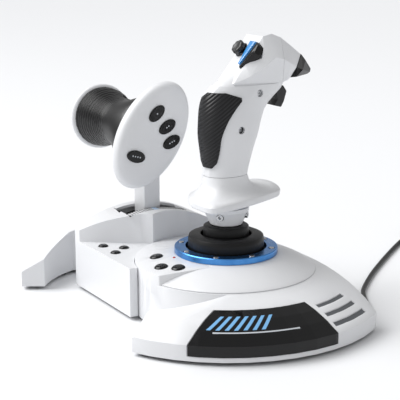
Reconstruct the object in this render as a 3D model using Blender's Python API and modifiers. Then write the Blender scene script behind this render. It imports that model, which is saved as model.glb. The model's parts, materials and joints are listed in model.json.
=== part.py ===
"""Flight joystick with a throttle module, built as an assembly of separate pieces.

Metres, +Z up. +Y is away from the pilot, +X is to the pilot's right, and the desk is z = 0.
Sizes and places below are measured from the stick's own axis, which stands at STICK_X, STICK_Y.
"""
import bpy
import bmesh
from math import radians, degrees, sin, cos, pi, sqrt, atan2, acos
from mathutils import Vector, Matrix

# ---- driving dimensions ----
GAP = 0.0003                 # between pieces that touch
WALL = 0.0025                # plastic shells
STICK_X = 0.04105
STICK_Y = 0.0229

FOOT_HEIGHT = 0.0028
FOOT_RADIUS = 0.006
SHELL_BOTTOM = FOOT_HEIGHT + GAP
PLATE_THICKNESS = 0.003
STRAP_REACH = 0.022          # joining strap under both modules
STRAP_HALF = 0.014
STRAP_THICKNESS = 0.0018

BODY_RADIUS = 0.076          # round part of the stick module
BODY_TOP = 0.0385
DECK_RIM = 0.0465            # raised button deck on it: a shallow cone, this high at its rim
DECK_INNER = 0.0435          # inner edge of the deck, under the collar ring
DECK_HIGH = 0.0515           # its height there
BACK_Y = 0.0773              # flat back of both modules

CRESCENT_RADIUS = 0.130
CRESCENT_EDGE = 0.0155       # height of the crescent's outer wall
CRESCENT_START = -64.4       # polar angles of its two tips, degrees
CRESCENT_END = 36.5
CRESCENT_SHELF = 0.080       # where its slanted end meets the round body
RAMP = (0.221, 0.272, 0.0344)    # slope in x, slope in y and height of the plane that lowers its tip

COVER_RADIUS = 0.0746
COVER_EDGE = 0.0394
RING_RADIUS = 0.043
RING_INNER = 0.0339
RING_TOP = 0.057
RING_HEIGHT = 0.005
RING_SCREW_CIRCLE = 0.0383
RING_SCREWS = 8
RING_SCREW_START = radians(1)
SCREW_HEAD = 0.0028
SCREW_SHANK = 0.0015

PIVOT_Z = 0.028              # where the stick tilts
SHAFT_RADIUS = 0.00735
SHAFT_TOP = 0.1165
PIN_RADIUS = 0.0025
YOKE_OUTER = 0.020
YOKE_INNER = 0.0135
YOKE_HEIGHT = 0.010
FRAME_REACH = 0.024

BOOT_RADIUS = 0.0317
BOOT_TOP = 0.0676
BOOT_NECK = 0.0192
BOOT_CROWN = 0.0755
RUBBER = 0.0015

COLLAR_BOTTOM = 0.0762
COLLAR_TOP = 0.0905
COLLAR_RADIUS = 0.0189
COLLAR_FOOT = 0.0135

REST_BOTTOM = 0.0935
REST_RIM = 0.0995
REST_RISE = 0.0035           # the shelf is this much higher at its front
SEAM_Z = 0.118               # where the handle starts
HANDLE_TOP = 0.1912
HEAD_BOTTOM = HANDLE_TOP + GAP

HUMP_RADIUS = 0.112
HUMP_Y = -0.022
HUMP_TOP = 0.072
PAD_TOP = 0.0445
BLOCK_LEFT = -0.121
BLOCK_FRONT = -0.082
BLOCK_RIGHT = -0.016
DECK_BACK = 0.038            # throttle module's height at the back
MODULE_GAP = 0.0006

WING_X = -0.0825             # centre of the left wing's arc
WING_Y = -0.0097
WING_RAMP = (0.262, 0.524, 0.0163)   # slopes and the height at the wing's tip
WING_TIP = (-0.1387, -0.127)
WING_CORNER = (-0.1283, -0.1093)

LEVER_X = -0.1015
LEVER_Y = -0.020
LEVER_Z = 0.013
LEVER_WIDTH = 0.0196
LEVER_DEPTH = 0.0155
SLOT_SIDE = 0.0018           # room on each side of the lever
SLOT_FRONT = -0.046
SLOT_BACK = 0.014
AXLE_RADIUS = 0.003
SHUTTER_RADIUS = 0.053
SHUTTER_SPAN = (52, 118)

GRIP_Y = -0.044              # axis of the throttle grip
GRIP_Z = 0.149
GRIP_END = -0.143
GRIP_DISC = 0.029
CORE_RADIUS = 0.0135           # tube inside the grip
SADDLE_END = -0.0700
SHIELD_Y = -0.038
SHIELD_Z = 0.144
SHIELD_LONG = 0.0485
SHIELD_SHORT = 0.030
SHIELD_LEAN = 58.5           # degrees from level
SHIELD_FACE = -0.0525

DECK_BUTTON = 0.0055
PAD_BUTTON = 0.0043
BUTTON_RISE = 0.0016
LIGHT_RADIUS = 0.0012
CORD_RADIUS = 0.002
CORD_EXIT = (0.058, 0.0085)   # x and height where the cord leaves the back
COIL_RADIUS = 0.022
COIL_PIPE = 0.0085
COIL_EDGE = 0.0025           # from the coil's outer side to the middle of its outermost turn
SLEEVE_RADIUS = 0.0026
SLEEVE_LENGTH = 0.008
TURNS = 28
OUTER_STEPS = 44             # facets of the crescents, outside and inside
INNER_STEPS = 34

for old in list(bpy.data.objects):
    bpy.data.objects.remove(old, do_unlink=True)
parts = bpy.data.collections.new("flight_joystick")
cutters = bpy.data.collections.new("cutters")
bpy.context.scene.collection.children.link(parts)
bpy.context.scene.collection.children.link(cutters)


# ---- materials ----
def material(name, colour, roughness, metallic=0.0):
    made = bpy.data.materials.new(name)
    made.use_nodes = True
    shader = made.node_tree.nodes["Principled BSDF"]
    shader.inputs["Base Color"].default_value = (*colour, 1.0)
    shader.inputs["Roughness"].default_value = roughness
    shader.inputs["Metallic"].default_value = metallic
    return made


white = material("white_plastic", (0.86, 0.87, 0.88), 0.35)
grey = material("grey_plastic", (0.35, 0.36, 0.38), 0.45)
black = material("black_plastic", (0.02, 0.02, 0.022), 0.4)
gloss = material("gloss_black", (0.01, 0.01, 0.012), 0.08)
rubber = material("black_rubber", (0.025, 0.025, 0.027), 0.7)
blue = material("blue_anodised", (0.05, 0.22, 0.55), 0.28, 1.0)
blue_key = material("blue_plastic", (0.06, 0.35, 0.75), 0.2)
steel = material("steel", (0.6, 0.6, 0.62), 0.3, 1.0)
silver = material("silver_shaft", (0.75, 0.76, 0.78), 0.3, 1.0)
cable = material("cable", (0.03, 0.03, 0.032), 0.55)


# ---- modelling helpers ----
def empty(name, place=(0, 0, 0), parent=None):
    made = bpy.data.objects.new(name, None)
    made.location = place
    made.parent = parent
    bpy.context.scene.collection.objects.link(made)
    return made


axis = empty("stick_axis", (STICK_X, STICK_Y, 0))


def keep(made, name, finish, parent=None, place=(0, 0, 0), turn=(0, 0, 0), smooth=32):
    """Files an object among the parts, gives it its material and places it."""
    made.name = name
    made.data.name = name
    for holder in list(made.users_collection):
        holder.objects.unlink(made)
    parts.objects.link(made)
    made.hide_render = False
    made.display_type = 'TEXTURED'
    made.data.materials.clear()
    made.data.materials.append(finish)
    made.parent = parent or axis
    made.location = place
    made.rotation_euler = turn
    if smooth:
        made.data.shade_smooth()
        made.data.set_sharp_from_angle(angle=radians(smooth))
    return made


def loose(name, mesh):
    made = bpy.data.objects.new(name, mesh)
    cutters.objects.link(made)
    made.hide_render = True
    made.display_type = 'WIRE'
    made.parent = axis
    return made


def from_bmesh(name, work):
    bmesh.ops.recalc_face_normals(work, faces=work.faces)
    mesh = bpy.data.meshes.new(name)
    work.to_mesh(mesh)
    work.free()
    return loose(name, mesh)


def box(name, low, high):
    """A box between two corners."""
    work = bmesh.new()
    size = [high[i] - low[i] for i in range(3)]
    middle = [(high[i] + low[i]) / 2 for i in range(3)]
    bmesh.ops.create_cube(work, size=1, matrix=Matrix.Translation(middle) @ Matrix.Diagonal((*size, 1)))
    return from_bmesh(name, work)


AXES = {"X": Matrix.Rotation(pi / 2, 4, 'Y'), "Y": Matrix.Rotation(-pi / 2, 4, 'X'),
        "Z": Matrix.Identity(4)}


def rod(name, radius, start, length, along="Z", sides=24, end_radius=None):
    """A cylinder or cone from a start point along an axis."""
    work = bmesh.new()
    matrix = Matrix.Translation(start) @ AXES[along] @ Matrix.Translation((0, 0, length / 2))
    bmesh.ops.create_cone(work, cap_ends=True, segments=sides, radius1=radius,
                          radius2=radius if end_radius is None else end_radius, depth=length, matrix=matrix)
    return from_bmesh(name, work)


def turned(name, profile, steps=48, closed=True):
    """A profile of (radius, height) points, top to bottom down its outer side, turned about Z."""
    mesh = bpy.data.meshes.new(name)
    count = len(profile)
    edges = [(i, i + 1) for i in range(count - 1)]
    if closed:
        edges.append((count - 1, 0))
    mesh.from_pydata([(r, 0, z) for r, z in profile], edges, [])
    made = loose(name, mesh)
    screw = made.modifiers.new("turn", 'SCREW')
    screw.steps = steps
    screw.render_steps = steps
    screw.use_merge_vertices = True
    screw.merge_threshold = 0.00001
    screw.use_smooth_shade = True
    return flattened(made)


def flattened(made):
    """Replaces an object's mesh or curve by what its modifiers make of it."""
    shown = made.evaluated_get(bpy.context.evaluated_depsgraph_get())
    mesh = bpy.data.meshes.new_from_object(shown)
    work = bmesh.new()
    work.from_mesh(mesh)
    bmesh.ops.remove_doubles(work, verts=work.verts, dist=0.000001)
    bmesh.ops.recalc_face_normals(work, faces=work.faces)
    work.to_mesh(mesh)
    work.free()
    fresh = loose(made.name + "_mesh", mesh)
    fresh.matrix_basis = made.matrix_basis.copy()
    bpy.data.objects.remove(made, do_unlink=True)
    return fresh


def plate(name, outline, low, high, upright=False):
    """A flat outline given thickness: along Z, or along X for an outline of (y, z) points."""
    curve = bpy.data.curves.new(name, 'CURVE')
    curve.dimensions = '2D'
    curve.fill_mode = 'BOTH'
    curve.extrude = (high - low) / 2
    line = curve.splines.new('POLY')
    line.points.add(len(outline) - 1)
    for point, (a, b) in zip(line.points, outline):
        point.co = (a, b, 0, 1)
    line.use_cyclic_u = True
    made = bpy.data.objects.new(name, curve)
    cutters.objects.link(made)
    bpy.context.view_layer.update()
    made = flattened(made)
    turn = Matrix(((0, 0, 1, 0), (1, 0, 0, 0), (0, 1, 0, 0),
                   (0, 0, 0, 1))) if upright else Matrix.Identity(4)
    made.data.transform(turn @ Matrix.Translation((0, 0, (low + high) / 2)))
    return made


def sloped(name, outline, low, slope):
    """An outline raised from a height up to a tilted plane: height = a x + b y + c."""
    made = plate(name, outline, low, 0.2)
    for vertex in made.data.vertices:
        if vertex.co.z > 0.1:
            vertex.co.z = slope[0] * vertex.co.x + slope[1] * vertex.co.y + slope[2]
    return made


def loft(name, rings, folded=False):
    """Rings of equal point counts joined by quads, with a face over each end (two on a folded end)."""
    work = bmesh.new()
    rows = [[work.verts.new(point) for point in ring] for ring in rings]
    count = len(rows[0])
    for lower, upper in zip(rows, rows[1:]):
        for i in range(count):
            j = (i + 1) % count
            work.faces.new((lower[i], lower[j], upper[j], upper[i]))
    for row in (rows[0], rows[-1]):
        halves = [(row[0], row[1], row[4], row[5]), (row[1], row[2], row[3], row[4])] if folded else [row]
        for half in halves:
            work.faces.new(half)
    return from_bmesh(name, work)


def cut(made, tool, how='DIFFERENCE'):
    """Adds an exact Boolean to an object and puts its tool away."""
    step = made.modifiers.new(how.lower(), 'BOOLEAN')
    step.operation = how
    step.solver = 'EXACT'
    step.object = tool
    return made


def join(made, *others):
    for other in others:
        cut(made, other, 'UNION')
    return made


def bevel(made, width, segments=2, angle=40):
    """Settles an object's shape, then rounds its sharp edges."""
    bpy.context.view_layer.update()
    made = flattened(made)
    step = made.modifiers.new("round", 'BEVEL')
    step.width = width
    step.segments = segments
    step.limit_method = 'ANGLE'
    step.angle_limit = radians(angle)
    step.use_clamp_overlap = True
    bpy.context.view_layer.update()
    return flattened(made)


def settled(made):
    """Settles an object's Booleans into one mesh."""
    bpy.context.view_layer.update()
    return flattened(made)


def arc(radius, start, end, steps, centre=(0, 0)):
    """Points on a circle between two angles in degrees."""
    return [(centre[0] + radius * cos(radians(start + (end - start) * i / steps)),
             centre[1] + radius * sin(radians(start + (end - start) * i / steps))) for i in range(steps + 1)]


def mix(a, b, share):
    return a + (b - a) * share


def path(stops, share):
    """Reads a row of (position, values...) stops at a position, straight between stops."""
    for before, after in zip(stops, stops[1:]):
        if share <= after[0]:
            part = (share - before[0]) / (after[0] - before[0])
            return [mix(p, q, part) for p, q in zip(before[1:], after[1:])]
    return list(stops[-1][1:])


def smooth_path(stops, share):
    """Reads the same row along a smooth curve through its stops."""
    last = len(stops) - 1
    at = next((i for i in range(last) if share <= stops[i + 1][0]), last - 1)
    t = (share - stops[at][0]) / (stops[at + 1][0] - stops[at][0])
    values = []
    for k in range(1, len(stops[0])):
        p = [stops[min(max(at + j, 0), last)][k] for j in (-1, 0, 1, 2)]
        values.append(0.5 * (2 * p[1] + (p[2] - p[0]) * t + (2 * p[0] - 5 * p[1] + 4 * p[2] - p[3]) * t ** 2
                             + (3 * p[1] - p[0] - 3 * p[2] + p[3]) * t ** 3))
    return values


# ---- stick module: base ----
def crescent_outline(inset):
    """Plan of the crescent foot, from the round body out to a radius beyond its edge."""
    reach = CRESCENT_RADIUS + 0.01 - inset
    tip = CRESCENT_RADIUS + 0.002
    start = radians(CRESCENT_START)
    shelf = (0.010 + inset, -CRESCENT_SHELF + inset)
    nose = (tip * cos(start) + inset, tip * sin(start) + 1.3 * inset)
    back = BACK_Y - inset
    far = radians(CRESCENT_END)
    corner = (CRESCENT_RADIUS * cos(far), back)
    return [(0, -0.06), shelf, nose, *arc(reach, CRESCENT_START + 2, CRESCENT_END - 3, 20),
            (corner[0] + 0.01, back), (0, back), (-0.02, 0.06)]


def crescent_profile(inset, bottom):
    """Half section of the crescent: a crowned slope from the cover's edge down to the outer wall."""
    crown = [(0.0755, 0.0385), (0.086, 0.0362), (0.097, 0.0328), (0.108, 0.0285), (0.119, 0.0228),
             (0.1265, 0.0178)]
    if inset:
        crown = crown[::2]
    edge = CRESCENT_RADIUS - inset
    return [(0, BODY_TOP - inset), *[(r - inset * 0.3, z - inset) for r, z in crown],
            (edge, CRESCENT_EDGE - inset), (edge, bottom), (0, bottom)]


def deck_outline(inset, inner):
    """Plan of the raised button deck: a piece of the round body left of a slanted step."""
    rim = BODY_RADIUS - inset
    step_out = (0.0185 - inset, -0.0735 + inset)
    step_in = (0.0325 - inset, -0.0335 - inset)
    return [step_in, step_out, *arc(rim, -78, -184, 18), (-inner, 0.005 - inset),
            *arc(inner, -184, -52, 12)]


def stick_hollow(name, inset, bottom):
    """The stick module's outer form, or the space inside it when inset by the wall."""
    form = turned(name, crescent_profile(inset, bottom), INNER_STEPS if inset else OUTER_STEPS,
                  closed=False)
    plan = sloped(name + "_plan", crescent_outline(inset), bottom - 0.01,
                  (RAMP[0], RAMP[1], RAMP[2] - inset))
    cut(form, plan, 'INTERSECT')
    round_body = rod(name + "_round", BODY_RADIUS - inset, (0, 0, bottom), BODY_TOP - inset - bottom,
                     sides=60)
    deck = plate(name + "_deck", deck_outline(inset, DECK_INNER + inset), 0.03 - inset, 0.06)
    cone = turned(name + "_cone", [(0, deck_height(0) - inset), (0.09, deck_height(0.09) - inset),
                                   (0.09, 0.01), (0, 0.01)], OUTER_STEPS, closed=False)
    deck = settled(cut(deck, cone, 'INTERSECT'))
    form = settled(join(form, round_body))
    return settled(join(form, deck))


def deck_height(radius):
    return mix(DECK_RIM, DECK_HIGH, (BODY_RADIUS - radius) / (BODY_RADIUS - DECK_INNER))


def deck_frame(x, y):
    """Frame on the conical deck: local Z is the surface's normal."""
    radius = sqrt(x * x + y * y)
    tilt = atan2(DECK_HIGH - DECK_RIM, BODY_RADIUS - DECK_INNER)
    place = Matrix.Translation((x, y, deck_height(radius)))
    return place @ Matrix.Rotation(atan2(y, x), 4, 'Z') @ Matrix.Rotation(tilt, 4, 'Y')


def button_places():
    """The three buttons of the stick deck and those of the throttle pad, with their light."""
    deck = [(-0.0218, -0.0541), (0.0032, -0.0634), (0.0154, -0.0545)]
    pad = [(-0.0880, -0.0705), (-0.0643, -0.0705), (-0.0740, -0.0575)]
    return deck, pad


STICK_BUTTONS, THROTTLE_BUTTONS = button_places()
LIGHT_PLACE = (-0.0070, -0.0455)


def drill(made, places, radius, low, high, sides=24):
    for x, y in places:
        cut(made, rod("drill", radius, (x, y, low), high - low, sides=sides))
    return made


def arc_band(name, inner, outer, start, end, low, high, steps=6):
    """A curved bar between two radii and two polar angles."""
    return plate(name, arc(outer, start, end, steps) + arc(inner, end, start, steps), low, high)


BARS = [(0.1025, 0.1060), (0.1120, 0.1155), (0.1210, 0.1245)]
BAR_START = 11
BAR_END = 31
PLATE_START = -45
PLATE_END = 8.5
PLATE_INNER = 0.0975


def nameplate_tool(name, grow, depth):
    """The space of the gloss plate: a curved band with slanted ends, from the crown over the wall."""
    outline = arc(CRESCENT_RADIUS + 0.004, PLATE_START - grow, PLATE_END + 1 + grow, 14)
    outline += arc(PLATE_INNER - grow * 0.002, PLATE_END - 1.5 + grow, PLATE_START + 8 - grow, 10)
    return plate(name, outline, depth, 0.05)


def stick_base_top():
    shell = stick_hollow("stick_shell", 0, SHELL_BOTTOM)
    space = stick_hollow("stick_space", WALL, SHELL_BOTTOM - 0.005)
    cut(shell, space)
    cut(shell, rod("well", 0.040, (0, 0, 0.03), 0.03, sides=48))
    shell = settled(shell)
    skin = settled(cut(nameplate_tool("plate_seat", 0.4, 0.0068), plate_core("seat_core", 0.0009)))
    cut(shell, skin)
    for inner, outer in BARS:
        cut(shell, arc_band("bar_seat", inner - 0.0002, outer + 0.0002, BAR_START - 0.2, BAR_END + 0.2,
                            0.012, 0.04))
    for place, radius, sides in [*((place, DECK_BUTTON, 20) for place in STICK_BUTTONS),
                                 (LIGHT_PLACE, LIGHT_RADIUS, 12)]:
        hole = rod("deck_hole", radius + GAP, (0, 0, -0.008), 0.014, sides=sides)
        hole.data.transform(deck_frame(*place))
        cut(shell, hole)
    cut(shell, rod("cord_gate", 0.0042, (CORD_EXIT[0], 0.07, CORD_EXIT[1]), 0.02, "Y", 20))
    return keep(settled(shell), "stick_base_top", white, smooth=28)


def plate_core(name, depth):
    """The crescent's form sunk by a depth, which the gloss plate lies on."""
    profile = [(r, z - depth) for r, z in crescent_profile(0, SHELL_BOTTOM)[:-2]]
    edge = CRESCENT_RADIUS - depth
    profile = [p for p in profile if p[0] < edge - 0.0005] + [(edge, CRESCENT_EDGE - depth), (edge, -0.01)]
    return turned(name, profile + [(0, -0.01)], OUTER_STEPS, closed=False)


def name_plate():
    """Gloss plate: the crescent's skin, between its seat and the surface."""
    body = settled(cut(nameplate_tool("plate_body", 0, 0.0071), plate_core("body_core", 0.0006)))
    limit = turned("plate_limit", [(0, 0.0389), *[(r, z + 0.0004) for r, z in crescent_profile(0, 0)[1:-3]],
                                   (CRESCENT_RADIUS + 0.0004, CRESCENT_EDGE + 0.0002),
                                   (CRESCENT_RADIUS + 0.0004, 0), (0, 0)], OUTER_STEPS, closed=False)
    return keep(settled(cut(body, limit, 'INTERSECT')), "name_plate", gloss)


def inlay_bar(number, inner, outer):
    """Grey bar set into the crescent, its top just under the white surface."""
    bar = arc_band("bar", inner, outer, BAR_START, BAR_END, 0.012, 0.04)
    low = turned("bar_low", [(0, 0.033)] + [(r, z - 0.0045) for r, z in crescent_profile(0, 0)[1:-3]]
                 + [(0.14, 0.009), (0.14, -0.01), (0, -0.01)], OUTER_STEPS, closed=False)
    top = turned("bar_top", [(0, 0.038)] + [(r, z - 0.0006) for r, z in crescent_profile(0, 0)[1:-3]]
                 + [(0.14, 0.009), (0.14, -0.02), (0, -0.02)], OUTER_STEPS, closed=False)
    cut(bar, top, 'INTERSECT')
    bar = settled(bar)
    cut(bar, low)
    return keep(settled(bar), f"inlay_bar_{number}", grey)


def disc_trim(name, inset):
    """A slab as wide as the space in a crescent, and with the same facets."""
    edge = CRESCENT_RADIUS - inset
    return turned(name, [(0, 0.02), (edge, 0.02), (edge, -0.01), (0, -0.01)], INNER_STEPS, closed=False)


def stick_base_bottom():
    """Bottom plate inside the shell's walls."""
    inset = WALL + GAP
    base = rod("bottom_round", BODY_RADIUS - inset, (0, 0, SHELL_BOTTOM), PLATE_THICKNESS, sides=64)
    wing = plate("bottom_wing", crescent_outline(inset), SHELL_BOTTOM, SHELL_BOTTOM + PLATE_THICKNESS)
    cut(wing, disc_trim("bottom_trim", inset), 'INTERSECT')
    wing = settled(wing)
    base = settled(join(base, wing))
    return keep(base, "stick_base_bottom", black)


def foot(name, x, y):
    return keep(rod(name, FOOT_RADIUS, (0, 0, 0), FOOT_HEIGHT, sides=20), name, rubber, place=(x, y, 0))


def cover():
    """Shallow domed disc with a hole for the boot, cut away where the button deck stands."""
    crown = [(RING_INNER, 0.0517), (0.0445, 0.0517), (0.052, 0.0500), (0.060, 0.0470), (0.067, 0.0437),
             (0.072, 0.0410), (COVER_RADIUS, COVER_EDGE)]
    under = [(r, z - 0.0022) for r, z in crown[:-2]]
    profile = crown + [(COVER_RADIUS, BODY_TOP + GAP), (0.0705, BODY_TOP + GAP)] + under[::-1]
    made = turned("cover", profile, 44)
    cut(made, plate("deck_gap", deck_outline(-GAP, 0.0435 - GAP), 0.03, 0.06))
    made = settled(made)
    drill(made, ring_screw_places(), SCREW_SHANK + GAP, 0.045, 0.055, 8)
    return keep(settled(made), "cover_disc", white)


def ring_screw_places():
    turns = [RING_SCREW_START + 2 * pi * i / RING_SCREWS for i in range(RING_SCREWS)]
    return [(RING_SCREW_CIRCLE * cos(turn), RING_SCREW_CIRCLE * sin(turn)) for turn in turns]


def collar_ring():
    low = RING_TOP - RING_HEIGHT
    edge = 0.0006
    profile = [(RING_INNER, RING_TOP), (RING_RADIUS - edge, RING_TOP), (RING_RADIUS, RING_TOP - edge),
               (RING_RADIUS, low), (RING_INNER, low)]
    made = turned("ring", profile, 44)
    places = ring_screw_places()
    drill(made, places, SCREW_SHANK + GAP, 0.05, 0.06, 8)
    made = settled(made)
    drill(made, places, SCREW_HEAD + GAP, RING_TOP - 0.0016, 0.06, 12)
    return keep(settled(made), "collar_ring", blue)


def clamp_ring():
    """Ring under the cover with the eight screws that hold the collar ring down on it."""
    top = 0.0517 - 0.0022 - GAP
    made = turned("clamp", [(RING_INNER + 0.0004, top), (0.0422, top), (0.0422, top - 0.003),
                            (RING_INNER + 0.0004, top - 0.003)], 32)
    head_low = RING_TOP - 0.0016 + GAP
    for x, y in ring_screw_places():
        screw = rod("screw", SCREW_SHANK, (x, y, top - 0.002), head_low + 0.001 - top + 0.002, sides=6)
        head = rod("head", SCREW_HEAD, (x, y, head_low), 0.0017, sides=10, end_radius=SCREW_HEAD - 0.0006)
        made = settled(join(made, settled(join(screw, head))))
    return keep(made, "clamp_ring_screws", steel)


# ---- stick module: gimbal, boot and shaft ----
pitch_axis = empty("pitch_axis", (0, 0, PIVOT_Z), axis)
roll_axis = empty("roll_axis", (0, 0, PIVOT_Z), axis)
twist_axis = empty("twist_axis", (0, 0, SEAM_Z), axis)


def gimbal_frame():
    low = SHELL_BOTTOM + PLATE_THICKNESS + GAP
    made = box("frame_base", (-FRAME_REACH - 0.006, -0.012, low), (FRAME_REACH + 0.006, 0.012, low + 0.003))
    for side in (-1, 1):
        x = sorted((side * FRAME_REACH, side * (FRAME_REACH + 0.005)))
        join(made, box("upright", (x[0], -0.006, low + 0.001), (x[1], 0.006, PIVOT_Z + 0.006)))
    made = settled(made)
    cut(made, rod("frame_bore", PIN_RADIUS + GAP, (-0.05, 0, PIVOT_Z), 0.1, "X", 20))
    return keep(settled(made), "gimbal_frame", black)


def gimbal_yoke():
    """Ring that tilts in the frame on two pins and carries the stick's cross pin."""
    half = YOKE_HEIGHT / 2
    made = turned("yoke", [(YOKE_INNER, half), (YOKE_OUTER, half), (YOKE_OUTER, -half),
                           (YOKE_INNER, -half)], 40)
    for side in (-1, 1):
        start = YOKE_INNER + 0.003 if side > 0 else -FRAME_REACH - 0.0045
        join(made, rod("yoke_pin", PIN_RADIUS, (start, 0, 0), FRAME_REACH + 0.0045 - YOKE_INNER - 0.003,
                       "X", 16))
    made = settled(made)
    cut(made, rod("yoke_bore", PIN_RADIUS + GAP, (0, -0.03, 0), 0.06, "Y", 20))
    made = settled(made)
    return keep(made, "gimbal_yoke", black, pitch_axis)


def stick_shaft():
    made = rod("shaft", SHAFT_RADIUS, (0, 0, -0.009), SHAFT_TOP - PIVOT_Z + 0.009, sides=32)
    join(made, rod("cross_pin", PIN_RADIUS, (0, -YOKE_OUTER + 0.001, 0), 2 * YOKE_OUTER - 0.002, "Y", 16))
    return keep(settled(made), "stick_shaft", silver, roll_axis)


def centring_spring():
    """Coil round the shaft above the gimbal."""
    curve = bpy.data.curves.new("spring", 'CURVE')
    curve.dimensions = '3D'
    curve.bevel_depth = 0.0008
    curve.bevel_resolution = 1
    curve.use_fill_caps = True
    line = curve.splines.new('POLY')
    turns, per_turn, low, high = 4, 12, PIVOT_Z + 0.0075, 0.0485
    count = turns * per_turn + 1
    line.points.add(count - 1)
    for i, point in enumerate(line.points):
        angle = 2 * pi * i / per_turn
        point.co = (0.0105 * cos(angle), 0.0105 * sin(angle), mix(low, high, i / (count - 1)), 1)
    made = bpy.data.objects.new("spring", curve)
    cutters.objects.link(made)
    return keep(flattened(made), "centring_spring", steel)


def boot_shell(name, outer, parent=None, drop=0.0):
    """A rubber turned shell: an outer profile, and the same profile inset by the rubber's thickness."""
    inner = []
    for i, (r, z) in enumerate(outer):
        ahead = outer[min(i + 1, len(outer) - 1)]
        behind = outer[max(i - 1, 0)]
        along = Vector((ahead[0] - behind[0], ahead[1] - behind[1])).normalized()
        inner.append((r + along.y * RUBBER, z - along.x * RUBBER))
    profile = [(r, z - drop) for r, z in outer + inner[::-1]]
    return keep(turned(name + "_form", profile, TURNS), name, rubber, parent)


def boot_lower():
    r, top = BOOT_RADIUS, BOOT_TOP
    outer = [(0.0215, top), (r - 0.0035, top), (r - 0.0008, top - 0.0012), (r, top - 0.004),
             (r, RING_TOP + 0.001),
             (r, RING_TOP - 0.0045)]
    return boot_shell("boot_lower", outer)


def boot_upper():
    r, top = BOOT_NECK, BOOT_CROWN
    outer = [(SHAFT_RADIUS + 0.0008, top - 0.0010), (0.0125, top), (r - 0.0025, top),
             (r - 0.0004, top - 0.0012),
             (r, top - 0.0035), (r, BOOT_TOP - 0.002)]
    return boot_shell("boot_upper", outer, roll_axis, PIVOT_Z)


def lock_collar():
    """Tapered collar that locks the twist, clear of the shaft it is screwed to."""
    bore = SHAFT_RADIUS + GAP
    made = turned("collar", [(bore, COLLAR_TOP), (COLLAR_RADIUS, COLLAR_TOP),
                             (COLLAR_RADIUS, COLLAR_TOP - 0.003),
                             (COLLAR_FOOT, COLLAR_BOTTOM), (bore, COLLAR_BOTTOM)], 40)
    for angle in LOCK_ANGLES:
        hole = rod("lock_hole", 0.0028 + GAP, (0.0095, 0, COLLAR_TOP - 0.006), 0.02, "X", 16)
        hole.data.transform(Matrix.Rotation(radians(angle), 4, 'Z'))
        cut(made, hole)
    made = settled(made)
    made.data.transform(Matrix.Translation((0, 0, -PIVOT_Z)))
    return keep(made, "lock_collar", white, roll_axis)


LOCK_ANGLES = (-48, 42)


def lock_screw(number, angle):
    made = rod("lock_screw", 0.0028, (0.0098, 0, COLLAR_TOP - PIVOT_Z - 0.006), 0.0088, "X", 14)
    socket = rod("socket", 0.0014, (0.0165, 0, COLLAR_TOP - PIVOT_Z - 0.006), 0.01, "X", 6)
    made = settled(cut(made, socket))
    made.data.transform(Matrix.Rotation(radians(angle), 4, 'Z'))
    return keep(made, f"lock_screw_{number}", steel, roll_axis)


# ---- stick module: hand rest and handle ----
# height, centre y, half depth, half width of the handle
HANDLE = [(0.1180, -0.0017, 0.0190, 0.0158), (0.1290, 0.0000, 0.0202, 0.0160),
          (0.1400, 0.0010, 0.0226, 0.0168),
          (0.1510, 0.0024, 0.0254, 0.0176), (0.1620, 0.0040, 0.0268, 0.0178),
          (0.1730, 0.0066, 0.0288, 0.0174),
          (0.1820, 0.0125, 0.0328, 0.0168), (0.1870, 0.0170, 0.0345, 0.0165),
          (HANDLE_TOP, 0.0205, 0.0330, 0.0160)]
# the hand rest's plan: it reaches further on the right, where the hand lies
REST_PLAN = [(-0.006, -0.0325), (0.014, -0.0345), (0.0285, -0.0330), (0.0325, -0.0240), (0.0285, 0.0030),
             (0.0205, 0.0310), (0.0130, 0.0450), (-0.0100, 0.0525), (-0.0265, 0.0490), (-0.0320, 0.0330),
             (-0.0310, 0.0050), (-0.0240, -0.0190)]


def handle_section(z):
    return smooth_path(HANDLE, z)


def handle_point(z, angle, grow=0.0):
    """A point of the handle's rounded section at a height and an angle from +X, in its own frame."""
    centre, depth, width = handle_section(z)
    c, s = cos(angle), sin(angle)
    power = 0.9
    x = (width + grow) * abs(c) ** power * (1 if c > 0 else -1)
    y = centre + (depth + grow) * abs(s) ** power * (1 if s > 0 else -1)
    return Vector((x, y, z - SEAM_Z))


def closed_curve(points, count):
    """Evenly stepped points on a smooth closed curve through the given ones."""
    total = len(points)
    made = []
    for i in range(count):
        at, t = divmod(i * total / count, 1)
        p = [points[(int(at) + j) % total] for j in (-1, 0, 1, 2)]
        made.append([0.5 * (2 * p[1][k] + (p[2][k] - p[0][k]) * t
                            + (2 * p[0][k] - 5 * p[1][k] + 4 * p[2][k] - p[3][k]) * t ** 2
                            + (3 * p[1][k] - p[0][k] - 3 * p[2][k] + p[3][k]) * t ** 3) for k in (0, 1)])
    return made


def hand_rest():
    """Shelf for the hand's edge, flaring up to the handle's foot."""
    count = 36
    plan = closed_curve(REST_PLAN, count)
    levels = [(REST_BOTTOM, 0.0, 0.96), (REST_BOTTOM + 0.001, 0.0, 0.99), (REST_RIM - 0.001, 0.0, 1.0),
              (REST_RIM, 0.0, 0.985), (REST_RIM + 0.0014, 0.22, 0.98), (REST_RIM + 0.0038, 0.5, 0.98),
              (REST_RIM + 0.0075, 0.78, 0.985), (REST_RIM + 0.0120, 0.93, 1.0), (SEAM_Z - GAP, 1.0, 1.0)]
    rings = []
    for z, share, scale in levels:
        ring = []
        for x, y in plan:
            angle = atan2((y + 0.0017) / 1.2, x)
            top = handle_point(SEAM_Z, angle)
            lift = REST_RISE * (y + 0.03) / 0.08 * (1 - share)
            ring.append((mix(x * scale, top.x, share), mix(y * scale, top.y, share), z + lift - SEAM_Z))
        rings.append(ring)
    made = loft("rest", rings)
    cut(made, rod("rest_bore", SHAFT_RADIUS + GAP, (0, 0, -0.04), 0.06, sides=28))
    return keep(settled(made), "hand_rest", white, twist_axis, smooth=50)


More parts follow.
